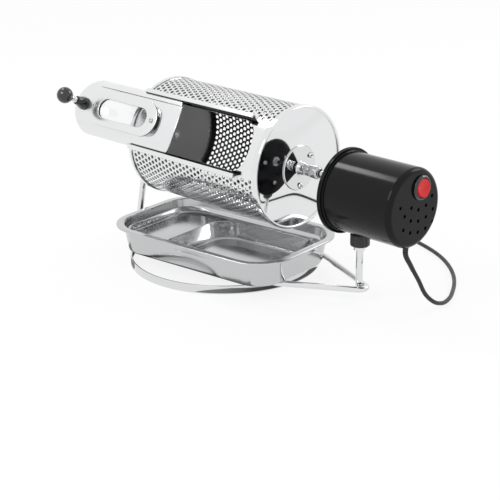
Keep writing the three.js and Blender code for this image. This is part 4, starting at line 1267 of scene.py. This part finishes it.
# %% Window frame, pane and screws
frame_level = 64.4 * mm
frame_thickness = 1.6 * mm
frame_half = 18 * mm
frame_reach = 50 * mm
pane_level = 62.9 * mm
pane_thickness = 1.2 * mm
pane_margin = 3 * mm
frame_screw_reach = 43 * mm
frame_screw_radius = 2.5 * mm
frame_screw_height = 1.4 * mm
frame_screw_lift = 0.3 * mm
shank_radius = 1.2 * mm
shank_low = 61.6 * mm
frame_top = frame_level + frame_thickness


def rounded_ring(left, right, front, back, radius, height, steps=12):
    """Places round a rectangle with rounded corners."""
    corners = [
        (right - radius, back - radius), (left + radius, back - radius),
        (left + radius, front + radius), (right - radius, front + radius),
    ]
    places = []
    for quarter, (x, y) in enumerate(corners):
        for i in range(steps + 1):
            angle = math.pi / 2 * (quarter + i / steps)
            places.append(Vector((x + radius * math.cos(angle), y + radius * math.sin(angle), height)))
    return places


def stadium_ring(reach, half, height):
    return rounded_ring(window_x - reach, window_x + reach, -half, half, half - hair, height)


window_frame = lofted([
    stadium_ring(frame_reach, frame_half, frame_level), stadium_ring(frame_reach, frame_half, frame_top),
    stadium_ring(slot_reach, slot_half, frame_top), stadium_ring(slot_reach, slot_half, frame_level),
], capped=False)
soften(window_frame, 0.35 * mm, 3)
# The frame's side faces take the near-black steel: painted shade for the gap under the frame.
for face in window_frame.faces:
    face.material_index = int(abs(face.normal.z) < 0.3)
add_piece(
    "window_frame", on_mouth(window_frame), satin_steel, "door", ["window_bezel"],
    inner=painted_shade_steel,
)
pane = lofted([
    stadium_ring(slot_reach + pane_margin, slot_half + pane_margin, level)
    for level in (pane_level, pane_level + pane_thickness)
])
soften(pane, 0.15 * mm)
add_piece("window_pane", on_mouth(pane), window_pane, "door", ["window_glass"])
for i, x in ((1, window_x - frame_screw_reach), (2, window_x + frame_screw_reach)):
    head = placed(socket_screw(frame_screw_radius, frame_screw_height), x, 0, frame_top + frame_screw_lift)
    shank = placed(round_bar(shank_radius, shank_low, frame_top + frame_screw_lift, 24), x, 0, 0)
    screw = on_mouth(merged(head, shank))
    add_piece(f"frame_screw_{i}", screw, dark_chrome, "door", [f"bezel_screw_{i}"])
print("window frame", round(2 * frame_reach / mm), "mm long")

# %% [markdown]
# The knob is a black cone, a bright neck and a ball, so that it stays cool to the hand. All three
# are turned. The ball's profile is an arc that starts where the neck meets it.

# %% Door knob
knob_x = door_right - 138 * mm
knob_foot_level = 62.9 * mm
knob_neck_level = 74.2 * mm
knob_ball_level = 82.5 * mm
foot_radius = 7 * mm
foot_rim = 1.8 * mm
cone_radius = 4.6 * mm
cone_top = 8.6 * mm
foot_top_radius = 4.5 * mm
foot_top = 11 * mm
neck_radius = 3.2 * mm
neck_height = 8 * mm
neck_groove_radius = neck_radius - 0.5 * mm
neck_groove_low = 3.2 * mm
neck_groove_high = neck_height - neck_groove_low
neck_groove_slope = 0.4 * mm
ball_radius = 8.4 * mm
ball_steps = 32
knob_foot = turned([
    (0, 0), (foot_radius, 0), (foot_radius, foot_rim), (cone_radius, cone_top), (foot_top_radius, foot_top),
    (0, foot_top),
], 64, 0.35 * mm)
knob_neck = turned([
    (0, 0), (neck_radius, 0), (neck_radius, neck_groove_low),
    (neck_groove_radius, neck_groove_low + neck_groove_slope),
    (neck_groove_radius, neck_groove_high - neck_groove_slope), (neck_radius, neck_groove_high),
    (neck_radius, neck_height), (0, neck_height),
], 48, 0.2 * mm)
ball_start = math.asin(neck_radius / ball_radius)
ball_profile = [
    (ball_radius * math.sin(a), ball_radius * (math.cos(ball_start) - math.cos(a)))
    for a in (ball_start + (math.pi - ball_start) * i / ball_steps for i in range(ball_steps))
]
top_of_ball = ball_radius * (math.cos(ball_start) + 1)
knob_ball = turned([(0, 0), *ball_profile, (0, top_of_ball)], 64)
for name, shape, level, material, slot_name, node in (
    ("knob_foot", knob_foot, knob_foot_level, black_bakelite, "black_plastic", "knob_base"),
    ("knob_stem", knob_neck, knob_neck_level, chrome_plate, "chrome_wire", "knob_neck"),
    ("knob_grip", knob_ball, knob_ball_level, black_bakelite, "black_gloss", "knob_ball"),
):
    add_piece(name, on_mouth(placed(shape, knob_x, 0, level)), material, "door", [node])
print("knob", round(2 * ball_radius / mm, 1), "mm across")

# %% [markdown]
# ## The motor head
# The motor sits in a deep cup of black painted steel with a flange at its open end. The vents, the
# switch's hole and the holes for the post and the lead are cut with one Boolean, as drills would
# cut them, and weighted normals keep the flat face flat to the eye.

# %% Drilling
drill_deep = -5 * mm
drill_clear = 3 * mm


def drilled(shape, cutters):
    """Cuts tools out of a shape with one Boolean."""
    things = []
    for name, source in (("body", shape), ("tools", merged(*cutters))):
        mesh = bpy.data.meshes.new(name)
        source.to_mesh(mesh)
        source.free()
        things.append(link_object(name, mesh))
    cut = things[0].modifiers.new("cut", "BOOLEAN")
    cut.operation = "DIFFERENCE"
    cut.solver = "EXACT"
    cut.object = things[1]
    result = bmesh.new()
    result.from_object(things[0], bpy.context.evaluated_depsgraph_get())
    for thing in things:
        mesh = thing.data
        bpy.data.objects.remove(thing)
        bpy.data.meshes.remove(mesh)
    return result


# %% Motor housing's sizes
housing_low, housing_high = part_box("motor_housing")
motor_z = (housing_low.z + housing_high.z) / 2
motor_radius = 37.2 * mm
motor_wall = 1.8 * mm
motor_flange_radius = (housing_high.z - housing_low.z) / 2
motor_flange = 1.6 * mm
motor_edge = 5 * mm
edge_steps = 12
flange_fillet = 0.6 * mm
face_band = 0.5 * mm
face_x = housing_high.x
open_x = housing_low.x
switch_place = Vector((face_x, axis_y + 7.8 * mm, motor_z + 18 * mm))
post_low, post_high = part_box("right_post")
post_x, post_y = (post_low.x + post_high.x) / 2, (post_low.y + post_high.y) / 2
vent_rows = ((20.5 * mm, 4, 232), (31 * mm, 6, 204), (41.5 * mm, 5, 236))
vent_radius = 1.8 * mm
vent_spacing = 11.2 * mm
switch_hole = 10.6 * mm
post_hole = 3.7 * mm
lead_hole = 3 * mm
underside_low = -42 * mm
underside_high = -20 * mm
print("motor housing", round(2 * motor_radius / mm, 1), "mm across")


# %% Housing and its drills
def housing_shape():
    """The cup: a flange, a straight wall with a rounded edge, and a flat face."""
    inner_radius = motor_radius - motor_wall
    inner_edge = motor_edge - motor_wall
    inner_face = face_x - motor_wall
    flange_x = open_x + motor_flange
    face_radius = motor_radius - motor_edge
    rounded_edge = [
        (face_radius + motor_edge * math.cos(a), face_x - motor_edge + motor_edge * math.sin(a))
        for a in (math.pi / 2 * i / edge_steps for i in range(edge_steps + 1))
    ]
    shape = turned([
        (0, inner_face), (inner_radius - inner_edge, inner_face), (inner_radius, inner_face - inner_edge),
        (inner_radius, open_x), (motor_flange_radius, open_x), (motor_flange_radius, flange_x),
        (motor_radius + flange_fillet, flange_x), (motor_radius, flange_x + flange_fillet),
        *rounded_edge, (face_radius - face_band, face_x), (0, face_x),
    ], 128)
    soften(shape, 0.4 * mm, 3, math.radians(50))
    return placed(shape, 0, axis_y, motor_z, to_x)


def vent_drills():
    """One drill for each vent, in arcs round the switch."""
    drills = []
    for row_radius, count, start in vent_rows:
        for i in range(count):
            angle = math.radians(start) + i * vent_spacing / row_radius
            vent = placed(round_bar(vent_radius, drill_deep, drill_clear, 24), 0, 0, 0, to_x)
            drills.append(placed(
                vent, face_x, switch_place.y + row_radius * math.cos(angle),
                switch_place.z + row_radius * math.sin(angle),
            ))
    return drills


# %% Motor housing
drills = vent_drills()
drills.append(placed(round_bar(switch_hole, drill_deep, drill_clear, 64), *switch_place, to_x))
drills.append(placed(round_bar(post_hole, underside_low, underside_high), post_x, axis_y, motor_z))
drills.append(placed(
    round_bar(lead_hole, underside_low, underside_high), cord_exit.x, cord_exit.y, motor_z,
))
motor_shell = add_piece(
    "motor_shell", drilled(housing_shape(), drills), black_gloss, "stand", ["motor_housing"],
)
steady = motor_shell.modifiers.new("flat_faces", "WEIGHTED_NORMAL")
steady.keep_sharp = True
print("motor shell faces", len(motor_shell.data.polygons))

# %% [markdown]
# A flat cover closes the cup towards the drum, with a hole for the shaft's bush and three screws.

# %% Motor cover
cover_low, cover_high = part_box("motor_front_cover")
cover_edge = 0.9 * mm
bush_hole_radius = 6.8 * mm
drill_over = 2 * mm
cover = placed(turned([
    (0, cover_low.x), (motor_flange_radius - cover_edge, cover_low.x),
    (motor_flange_radius, cover_low.x + cover_edge), (motor_flange_radius, cover_high.x), (0, cover_high.x),
], 128, 0.25 * mm), 0, axis_y, motor_z, to_x)
bush_drill = round_bar(bush_hole_radius, cover_low.x - drill_over, cover_high.x + drill_over, 48)
motor_cover = drilled(cover, [placed(bush_drill, 0, axis_y, axis_z, to_x)])
add_piece("motor_cover", motor_cover, black_gloss, "stand", ["motor_front_cover"])
screws_at([f"cover_screw_{i}" for i in (1, 2, 3)], -1, zinc_plate)
print("motor cover done")

# %% [markdown]
# The switch is a red rocker in a black ring. The rocker is a slice of a ball, so that it can tip
# in its round hole without a gap. Its face is dished for a finger, which is done by lowering the
# face's own vertices, because a spin can only make what is the same all round.

# %% Switch ring
ring_body_radius = 10.3 * mm
ring_rim_radius = 11.6 * mm
ring_bore = 9.3 * mm
ring_depth = -16 * mm
ring_floor = 1 * mm
ring_seat = 0.3 * mm
rim_height = 1.6 * mm
crest_radius = 10.4 * mm
crest_height = 3.1 * mm
ring_top = 3.2 * mm
switch_ring = turned([
    (0, ring_depth), (ring_body_radius, ring_depth), (ring_body_radius, ring_seat),
    (ring_rim_radius, ring_seat), (ring_rim_radius, rim_height), (crest_radius, crest_height),
    (ring_bore, ring_top), (ring_bore, ring_depth + ring_floor), (0, ring_depth + ring_floor),
], 72, 0.25 * mm)
placed(switch_ring, *switch_place, to_x)
add_piece("switch_ring", switch_ring, black_bakelite, "stand", ["switch_bezel"])
print("switch ring", round(2 * ring_rim_radius / mm, 1), "mm across")

# %% Red rocker
rocker_radius = 9 * mm
rocker_half = 3.5 * mm
rocker_dip = 1 * mm
rocker_lift = 0.6 * mm
rocker_tip = -8
flank_steps = 10
face_shares = (0.88, 0.8, 0.6, 0.4, 0.2)
flank = [
    (math.sqrt(rocker_radius ** 2 - h ** 2), h)
    for h in (rocker_half * (2 * i / flank_steps - 1) for i in range(flank_steps + 1))
]
face_rings = [(rocker_radius * share, rocker_half) for share in face_shares]
rocker = turned([(0, -rocker_half), *flank, *face_rings, (0, rocker_half)], 72)
for vert in rocker.verts:
    if vert.co.z > rocker_half - hair:
        reach = math.hypot(vert.co.x, vert.co.y) / rocker_radius
        vert.co.z -= rocker_dip * max(0, 1 - reach ** 2) * (1 - abs(vert.co.x) / rocker_radius)
rocker_tilt = Matrix.Rotation(math.radians(rocker_tip), 4, "Y") @ to_x
placed(rocker, switch_place.x + rocker_lift, switch_place.y, switch_place.z, rocker_tilt)
add_piece("red_rocker", rocker, red_lens, "rocker", ["rocker_switch"], sharp=50)
print("rocker tipped by", rocker_tip, "degrees")

# %% [markdown]
# The post's clamp is a fluted knob. Flutes are a wave in the radius as it goes round, so the knob
# is skinned over rings whose radius follows that wave. A thin nut locks the post above it, and
# another nut holds the post inside the housing.

# %% Clamp knob and nuts
clamp_low, clamp_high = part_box("clamp_knob")
clamp_radius = 9.3 * mm
clamp_flutes = 12
clamp_sides = 144
flute_depth = 0.7 * mm
end_flute_depth = 0.5 * mm
clamp_foot_edge = 0.9 * mm
clamp_top_edge = 1.2 * mm
post_radius = 3.4 * mm
post_bore = post_radius + shaft_gap
clamp_height = clamp_high.z - clamp_low.z


def fluted(corner, depth):
    return lambda angle: corner - depth * (1 - math.cos(clamp_flutes * angle)) / 2


def plain_bore(angle):
    return post_bore


clamp = lofted([
    polar_ring(fluted(clamp_radius - clamp_foot_edge, end_flute_depth), 0, clamp_sides),
    polar_ring(fluted(clamp_radius, flute_depth), clamp_foot_edge, clamp_sides),
    polar_ring(fluted(clamp_radius, flute_depth), clamp_height - clamp_top_edge, clamp_sides),
    polar_ring(fluted(clamp_radius - clamp_top_edge, end_flute_depth), clamp_height, clamp_sides),
    polar_ring(plain_bore, clamp_height, clamp_sides), polar_ring(plain_bore, 0, clamp_sides),
], capped=False)
placed(clamp, post_x, post_y, clamp_low.z)
add_piece("clamp_grip", clamp, moulded_black, "clamp", ["clamp_knob"], sharp=30)
for node, name, material in (("lock_nut", "thin_nut", chrome_plate), ("post_nut", "housing_nut", zinc_plate)):
    low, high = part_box(node)
    nut = placed(hex_nut((high.x - low.x) / 2, post_bore, high.z - low.z), post_x, post_y, low.z)
    add_piece(name, nut, material, frame["nodes"][node]["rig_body"], [node])
print("clamp knob", round(2 * clamp_radius / mm, 1), "mm across")

# %% [markdown]
# Two round rods carry the machine. The right one stands upright under the motor. The left one
# leans back to a bearing eye on the drum's axis, because the stand is turned a little under the
# drum.

# %% Posts and bearing eye
stand_turn = 4
foot_level = post_low.z
stand_frame = Matrix.Translation((post_x, post_y, 0)) @ Matrix.Rotation(math.radians(stand_turn), 4, "Z")
eye_low, eye_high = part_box("left_post_eye")
eye_middle = Vector(((eye_low.x + eye_high.x) / 2, axis_y, axis_z))
eye_radius = (eye_high.z - eye_low.z) / 2
eye_bore = spindle_radius + 0.5 * mm
eye_gap = 0.3 * mm
foot_shift = (post_x - eye_middle.x) * math.tan(math.radians(stand_turn))
right_foot = Vector((post_x, post_y, foot_level))
right_top = Vector((post_x, post_y, post_high.z))
left_foot = Vector((eye_middle.x, axis_y - foot_shift, foot_level))
left_top = eye_middle + (left_foot - eye_middle).normalized() * (eye_radius + eye_gap)


def add_rod(name, foot, top, node):
    """A round chromed rod with broken ends between two places."""
    span = top - foot
    rod = round_bar(post_radius, 0, span.length, 48, 0.4 * mm)
    placed(rod, *foot, span.to_track_quat("Z", "Y").to_matrix().to_4x4())
    add_piece(name, rod, chrome_plate, "stand", [node])
    print(name, round(span.length / mm), "mm long")


add_rod("right_rod", right_foot, right_top, "right_post")
add_rod("left_rod", left_foot, left_top, "left_post")
eye = turned([
    (eye_bore, eye_low.x), (eye_radius, eye_low.x), (eye_radius, eye_high.x), (eye_bore, eye_high.x),
], 64, 0.5 * mm, True)
placed(eye, 0, axis_y, axis_z, to_x)
add_piece("bearing_eye", eye, chrome_plate, "stand", ["left_post_eye"])

# %% [markdown]
# ## Stand and catch tray
# One chromed wire is bent into a closed loop with a nose round each post, and it lies on a hoop
# of flat bar. The wire is a curve with a round bevel, the plainest way to give a long bend one
# thickness. The hoop is turned.

# %% Wire loop
hoop_height = 8.4 * mm
wire_radius = 3 * mm
wire_gap = 0.3 * mm
wire_spread = 45 * mm
wire_slope = math.radians(27)
wire_nose = post_radius + wire_radius + 0.6 * mm
wire_corner = 12 * mm
nose_steps = 20
corner_steps = 8
wire_z = hoop_height + wire_gap + wire_radius
foot_distance = (post_x - eye_middle.x) / math.cos(math.radians(stand_turn))


def tube_curve(name, points, radius):
    """A closed loop of round wire along points."""
    data = bpy.data.curves.new(name, "CURVE")
    data.dimensions = "3D"
    data.bevel_depth = radius
    data.bevel_resolution = 6
    spline = data.splines.new("POLY")
    spline.points.add(len(points) - 1)
    for point, place in zip(spline.points, points):
        point.co = (*place, 1)
    spline.use_cyclic_u = True
    return link_object(name, data)


def arc_points(middle, radius, start, end, steps):
    angles = [start + (end - start) * i / steps for i in range(steps + 1)]
    return [Vector((middle[0] + radius * math.cos(a), middle[1] + radius * math.sin(a), 0)) for a in angles]


def wire_loop():
    """The loop's middle line: a nose round each post and four wide corners."""
    opening = math.pi / 2 - wire_slope
    shoulder = (wire_spread - wire_nose / math.cos(wire_slope)) / math.tan(wire_slope)
    bend_reach = wire_corner * math.tan(wire_slope / 2)
    middle_y = wire_spread - wire_corner
    right_x = -shoulder - bend_reach
    left_x = -foot_distance + shoulder + bend_reach
    back, left, front, whole = math.pi / 2, math.pi, 3 * math.pi / 2, 2 * math.pi
    return [
        *arc_points((0, 0), wire_nose, -opening, opening, nose_steps),
        *arc_points((right_x, middle_y), wire_corner, opening, back, corner_steps),
        *arc_points((left_x, middle_y), wire_corner, back, left - opening, corner_steps),
        *arc_points((-foot_distance, 0), wire_nose, left - opening, left + opening, nose_steps),
        *arc_points((left_x, -middle_y), wire_corner, left + opening, front, corner_steps),
        *arc_points((right_x, -middle_y), wire_corner, front, whole - opening, corner_steps),
    ]


wire_places = [stand_frame @ (place + Vector((0, 0, wire_z))) for place in wire_loop()]
wire = tube_curve("wire_loop", wire_places, wire_radius)
wire.data.materials.append(chrome_plate)
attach(wire, "stand")
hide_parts("stand_wire")
print("wire points", len(wire_places))

# %% Foot hoop
hoop_radius = 95.5 * mm
hoop_bore = hoop_radius - 1.5 * mm
hoop_setback = 166 * mm
hoop = turned([
    (hoop_bore, 0), (hoop_radius, 0), (hoop_radius, hoop_height), (hoop_bore, hoop_height),
], 192, 0.3 * mm, True)
placed(hoop, 0, 0, 0, stand_frame @ Matrix.Translation((-hoop_setback, 0, 0)))
add_piece("foot_hoop", hoop, polished_steel, "stand", ["base_hoop"])
print("hoop", round(2 * hoop_radius / mm), "mm across")

# %% [markdown]
# The tray is pressed from thin sheet: a wide lip, a sloping wall, a ledge with a raised bead and
# an off-centre well. Its inside is skinned as one sheet over a stack of rings, each fold is rounded
# by a few more rings, and then it is given its thickness. The outside wall runs from the lip down
# to the wire. It is a second skin, because it slopes more than the inside does.

# %% Catch tray's sizes
tray_half_length = 104 * mm
tray_half_depth = 67.5 * mm
tray_height = 27.4 * mm
tray_lip = 7 * mm
tray_lip_drop = 1.6 * mm
tray_slope = 4 * mm
tray_foot = 12 * mm
tray_foot_fold = 3 * mm
tray_ledge = 13 * mm
tray_sheet = 1 * mm
tray_corner = 38 * mm
smallest_corner = 1 * mm
well_margins = (60 * mm, 15 * mm, 15 * mm, 17 * mm)
well_corner = 24 * mm
well_slope = 9.5 * mm
well_floor = 8 * mm
bead_outside = -2.1 * mm
bead_inside = -1.4 * mm
bead_rise = 1.4 * mm
rim_fold = 0.9 * mm
lip_fold = 1.6 * mm
ledge_fold = 7 * mm
bead_foot_fold = 0.5 * mm
bead_fold = 0.6 * mm
well_fold = 5 * mm
tray_place = (-150.6 * mm, -19 * mm, wire_z + wire_radius + wire_gap)
tray_turn = 1.5
fold_steps = 4
longest_bend_share = 0.48
print("tray", round(2 * tray_half_length / mm), "by", round(2 * tray_half_depth / mm), "mm")


# %% Rings of the tray
def tray_ring(inset, height):
    return rounded_ring(
        inset - tray_half_length, tray_half_length - inset, inset - tray_half_depth, tray_half_depth - inset,
        max(tray_corner - inset, smallest_corner), height,
    )


def well_ring(inset, height):
    left, right, front, back = well_margins
    return rounded_ring(
        left + inset - tray_half_length, tray_half_length - right - inset,
        front + inset - tray_half_depth, tray_half_depth - back - inset, well_corner, height,
    )


def rounded_folds(rings):
    """Turns each ring that has a fold radius into a few rings round the fold."""
    smooth = [rings[0][0]]
    for (before, _), (here, radius), (after, _) in zip(rings, rings[1:], rings[2:]):
        for step in range(fold_steps + 1):
            t = step / fold_steps
            places = []
            for a, b, c in zip(before, here, after):
                start = b + (a - b) * min(longest_bend_share, radius / max((a - b).length, radius))
                end = b + (c - b) * min(longest_bend_share, radius / max((c - b).length, radius))
                places.append(start * (1 - t) ** 2 + b * 2 * t * (1 - t) + end * t ** 2)
            smooth.append(places)
    return [*smooth, rings[-1][0]]


def is_cap(face):
    """The faces that close a skin's ends have more corners than the sheet's own."""
    return len(face.verts) > 8


# %% Catch tray
bead_top = tray_ledge + bead_rise
tray_skin = lofted(rounded_folds([
    (tray_ring(0, tray_height - tray_lip_drop), 0),
    (tray_ring(0, tray_height), rim_fold),
    (tray_ring(tray_lip, tray_height), lip_fold),
    (tray_ring(tray_lip + tray_slope, tray_ledge), ledge_fold),
    (well_ring(bead_outside, tray_ledge), bead_foot_fold),
    (well_ring(bead_inside, bead_top), bead_fold),
    (well_ring(0, bead_top), bead_fold),
    (well_ring(well_slope, tray_sheet), well_fold),
    (well_ring(well_slope + well_floor, tray_sheet), 0),
]))
rim_face = max(tray_skin.faces, key=lambda f: is_cap(f) * f.calc_center_median().z)
bmesh.ops.delete(tray_skin, geom=[rim_face], context="FACES_ONLY")
if min(tray_skin.faces, key=lambda f: f.calc_center_median().z).normal.z < 0:
    bmesh.ops.reverse_faces(tray_skin, faces=tray_skin.faces)
bmesh.ops.solidify(tray_skin, geom=tray_skin.faces[:], thickness=tray_sheet)
outer_wall = lofted(rounded_folds([
    (tray_ring(tray_lip, tray_height - tray_sheet), 0),
    (tray_ring(tray_foot, 0), tray_foot_fold),
    (tray_ring(tray_foot + tray_foot_fold, 0), 0),
]))
bmesh.ops.delete(outer_wall, geom=[face for face in outer_wall.faces if is_cap(face)], context="FACES_ONLY")
bmesh.ops.solidify(outer_wall, geom=outer_wall.faces[:], thickness=tray_sheet)
tray = merged(tray_skin, outer_wall)
tray_frame = stand_frame @ Matrix.Translation(tray_place) @ Matrix.Rotation(math.radians(tray_turn), 4, "Z")
placed(tray, 0, 0, 0, tray_frame)
tray_piece = add_piece(
    "pressed_tray", tray, pressed_steel, "tray", ["catch_tray"], sharp=60,
)
print("tray faces", len(tray_piece.data.polygons))

# %% [markdown]
# ## Plug and tie
# The lead ends in a flat moulded plug with two pins. The grip swells and narrows along its length,
# so it is skinned over rings, while its ribbed sleeve and the pins are round and are turned.

# %% Plug
plug_low, plug_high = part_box("plug_body")
plug_mouth = tail - Vector((mouth_gap, 0, 0))
grip_levels = (
    (-10, 4.5, 4.5), (-11, 6.2, 4.9), (-15, 12.4, 5.8), (-17, 13, 6), (-36, 13, 6), (-42, 12.2, 6),
    (-44, 10.6, 5.2),
)
sleeve_back = -9 * mm
sleeve_front = -0.2 * mm
sleeve_rim = cord_diameter / 2 + 0.6 * mm
rib_count = 4
rib_start = -8.6 * mm
rib_pitch = 2 * mm
rib_size = 4.4 * mm
rib_taper = 0.45 * mm
rib_width = 1.2 * mm
rib_slope = 0.2 * mm
rib_depth = 0.8 * mm


def grip_ring(x, half_width, half_height):
    """Places round the grip at one level along it."""
    radius = min(half_height, half_width) - hair
    ring = rounded_ring(-half_width, half_width, -half_height, half_height, radius, x, 6)
    return [Vector((p.z, p.x, p.y)) for p in ring]


plug_grip = lofted([grip_ring(x * mm, w * mm, h * mm) for x, w, h in grip_levels])
soften(plug_grip, 0.5 * mm, 2, math.radians(40))
rib_levels = [(0, sleeve_back)]
for rib in range(rib_count):
    start = rib_start + rib * rib_pitch
    size = rib_size - rib * rib_taper
    end = start + rib_width
    rib_levels += [(size, start), (size, end), (size - rib_depth, end + rib_slope)]
rib_levels += [(sleeve_rim, sleeve_front), (0, sleeve_front)]
plug_sleeve = placed(turned(rib_levels, 32), 0, 0, 0, to_x)
plug_shape = placed(merged(plug_grip, plug_sleeve), *plug_mouth)
plug_piece = add_piece("mains_plug", plug_shape, lead_rubber, "stand", ["plug_body"])
print("plug faces", len(plug_piece.data.polygons))

# %% Plug pins
pin_nose_share = 0.6
pin_tip = 0.1 * mm
pin_nose = 1.4 * mm
for i in (1, 2):
    low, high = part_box(f"plug_pin_{i}")
    pin_radius = (high.z - low.z) / 2
    pin = turned([
        (0, low.x), (pin_radius * pin_nose_share, low.x + pin_tip), (pin_radius, low.x + pin_nose),
        (pin_radius, high.x), (0, high.x),
    ], 32)
    placed(pin, 0, (low.y + high.y) / 2, (low.z + high.z) / 2, to_x)
    add_piece(f"brass_pin_{i}", pin, brass_metal, "stand", [f"plug_pin_{i}"])

# %% [markdown]
# A twist tie keeps the coil together: a thin band round the bundle of turns and two short tails.
# The band is skinned round the bundle, and each tail is a strip that is twisted half a turn as it
# rises and falls.

# %% Coil tie
tie_turn = 205
tie_width = 4 * mm
tie_sheet = 0.35 * mm
tie_gap = 0.1 * mm
tie_reach = cord_diameter / 2 + tie_gap
tie_corner = 1.5 * mm
tail_length = 13 * mm
tail_width = 2.6 * mm
tail_span = 11 * mm
tail_spread = 3 * mm
tail_rise = 1.8 * mm
tail_lift = 1.6 * mm
tail_setback = 9 * mm
straight_share = 0.4


def tie_ring(grow, along):
    """Places round the bundle of turns: across it, up it and along it."""
    inner = coil_radius - coil_pitch * coil_turns / 2 - tie_reach - grow
    outer = coil_radius + tie_reach + grow
    high = coil_rise + tie_reach + grow
    ring = rounded_ring(inner, outer, -tie_reach - grow, high, tie_corner + grow, along, 5)
    return [Vector((p.x, p.z, p.y)) for p in ring]


def tie_tail(lean):
    """A strip that is twisted half a turn and leans to one side."""
    strip = bmesh.new()
    bmesh.ops.create_grid(strip, x_segments=10, y_segments=1, size=0.5)
    bmesh.ops.scale(strip, vec=(tail_length, tail_width, 1), verts=strip.verts)
    for vert in strip.verts:
        along = vert.co.x / tail_length + 0.5
        twist = Matrix.Rotation(lean * math.pi * min(2 * along, 1), 3, "X")
        side = twist @ Vector((0, vert.co.y, 0))
        sideways = lean * tail_spread * max(0, along - straight_share)
        vert.co = Vector((along * tail_span, sideways, tail_rise * math.sin(math.pi * along))) + side
    bmesh.ops.solidify(strip, geom=strip.faces[:], thickness=tie_sheet)
    bmesh.ops.recalc_face_normals(strip, faces=strip.faces)
    return placed(strip, coil_radius - tail_setback, 0, coil_rise + tie_reach + tail_lift)


tie_band = lofted([
    tie_ring(0, -tie_width / 2), tie_ring(tie_sheet, -tie_width / 2), tie_ring(tie_sheet, tie_width / 2),
    tie_ring(0, tie_width / 2),
], capped=False)
tie = merged(tie_band, tie_tail(-1), tie_tail(1))
placed(tie, *coil_center, Matrix.Rotation(math.radians(tie_turn), 4, "Z"))
tie_piece = add_piece("coil_tie", tie, moulded_black, "stand")

# %% [markdown]
# ## The pieces that stay as they are
# The gearbox, the motor and the shaft's bush are hidden in the housing or nearly so. Their packed
# meshes are kept and only get a finish.

# %% Finishes of the pieces that stay as they are
for node in ("gearbox", "motor_can", "shaft_bush"):
    for material_slot in frame["nodes"][node].material_slots:
        material_slot.material = zinc_plate
print("kept pieces finished")
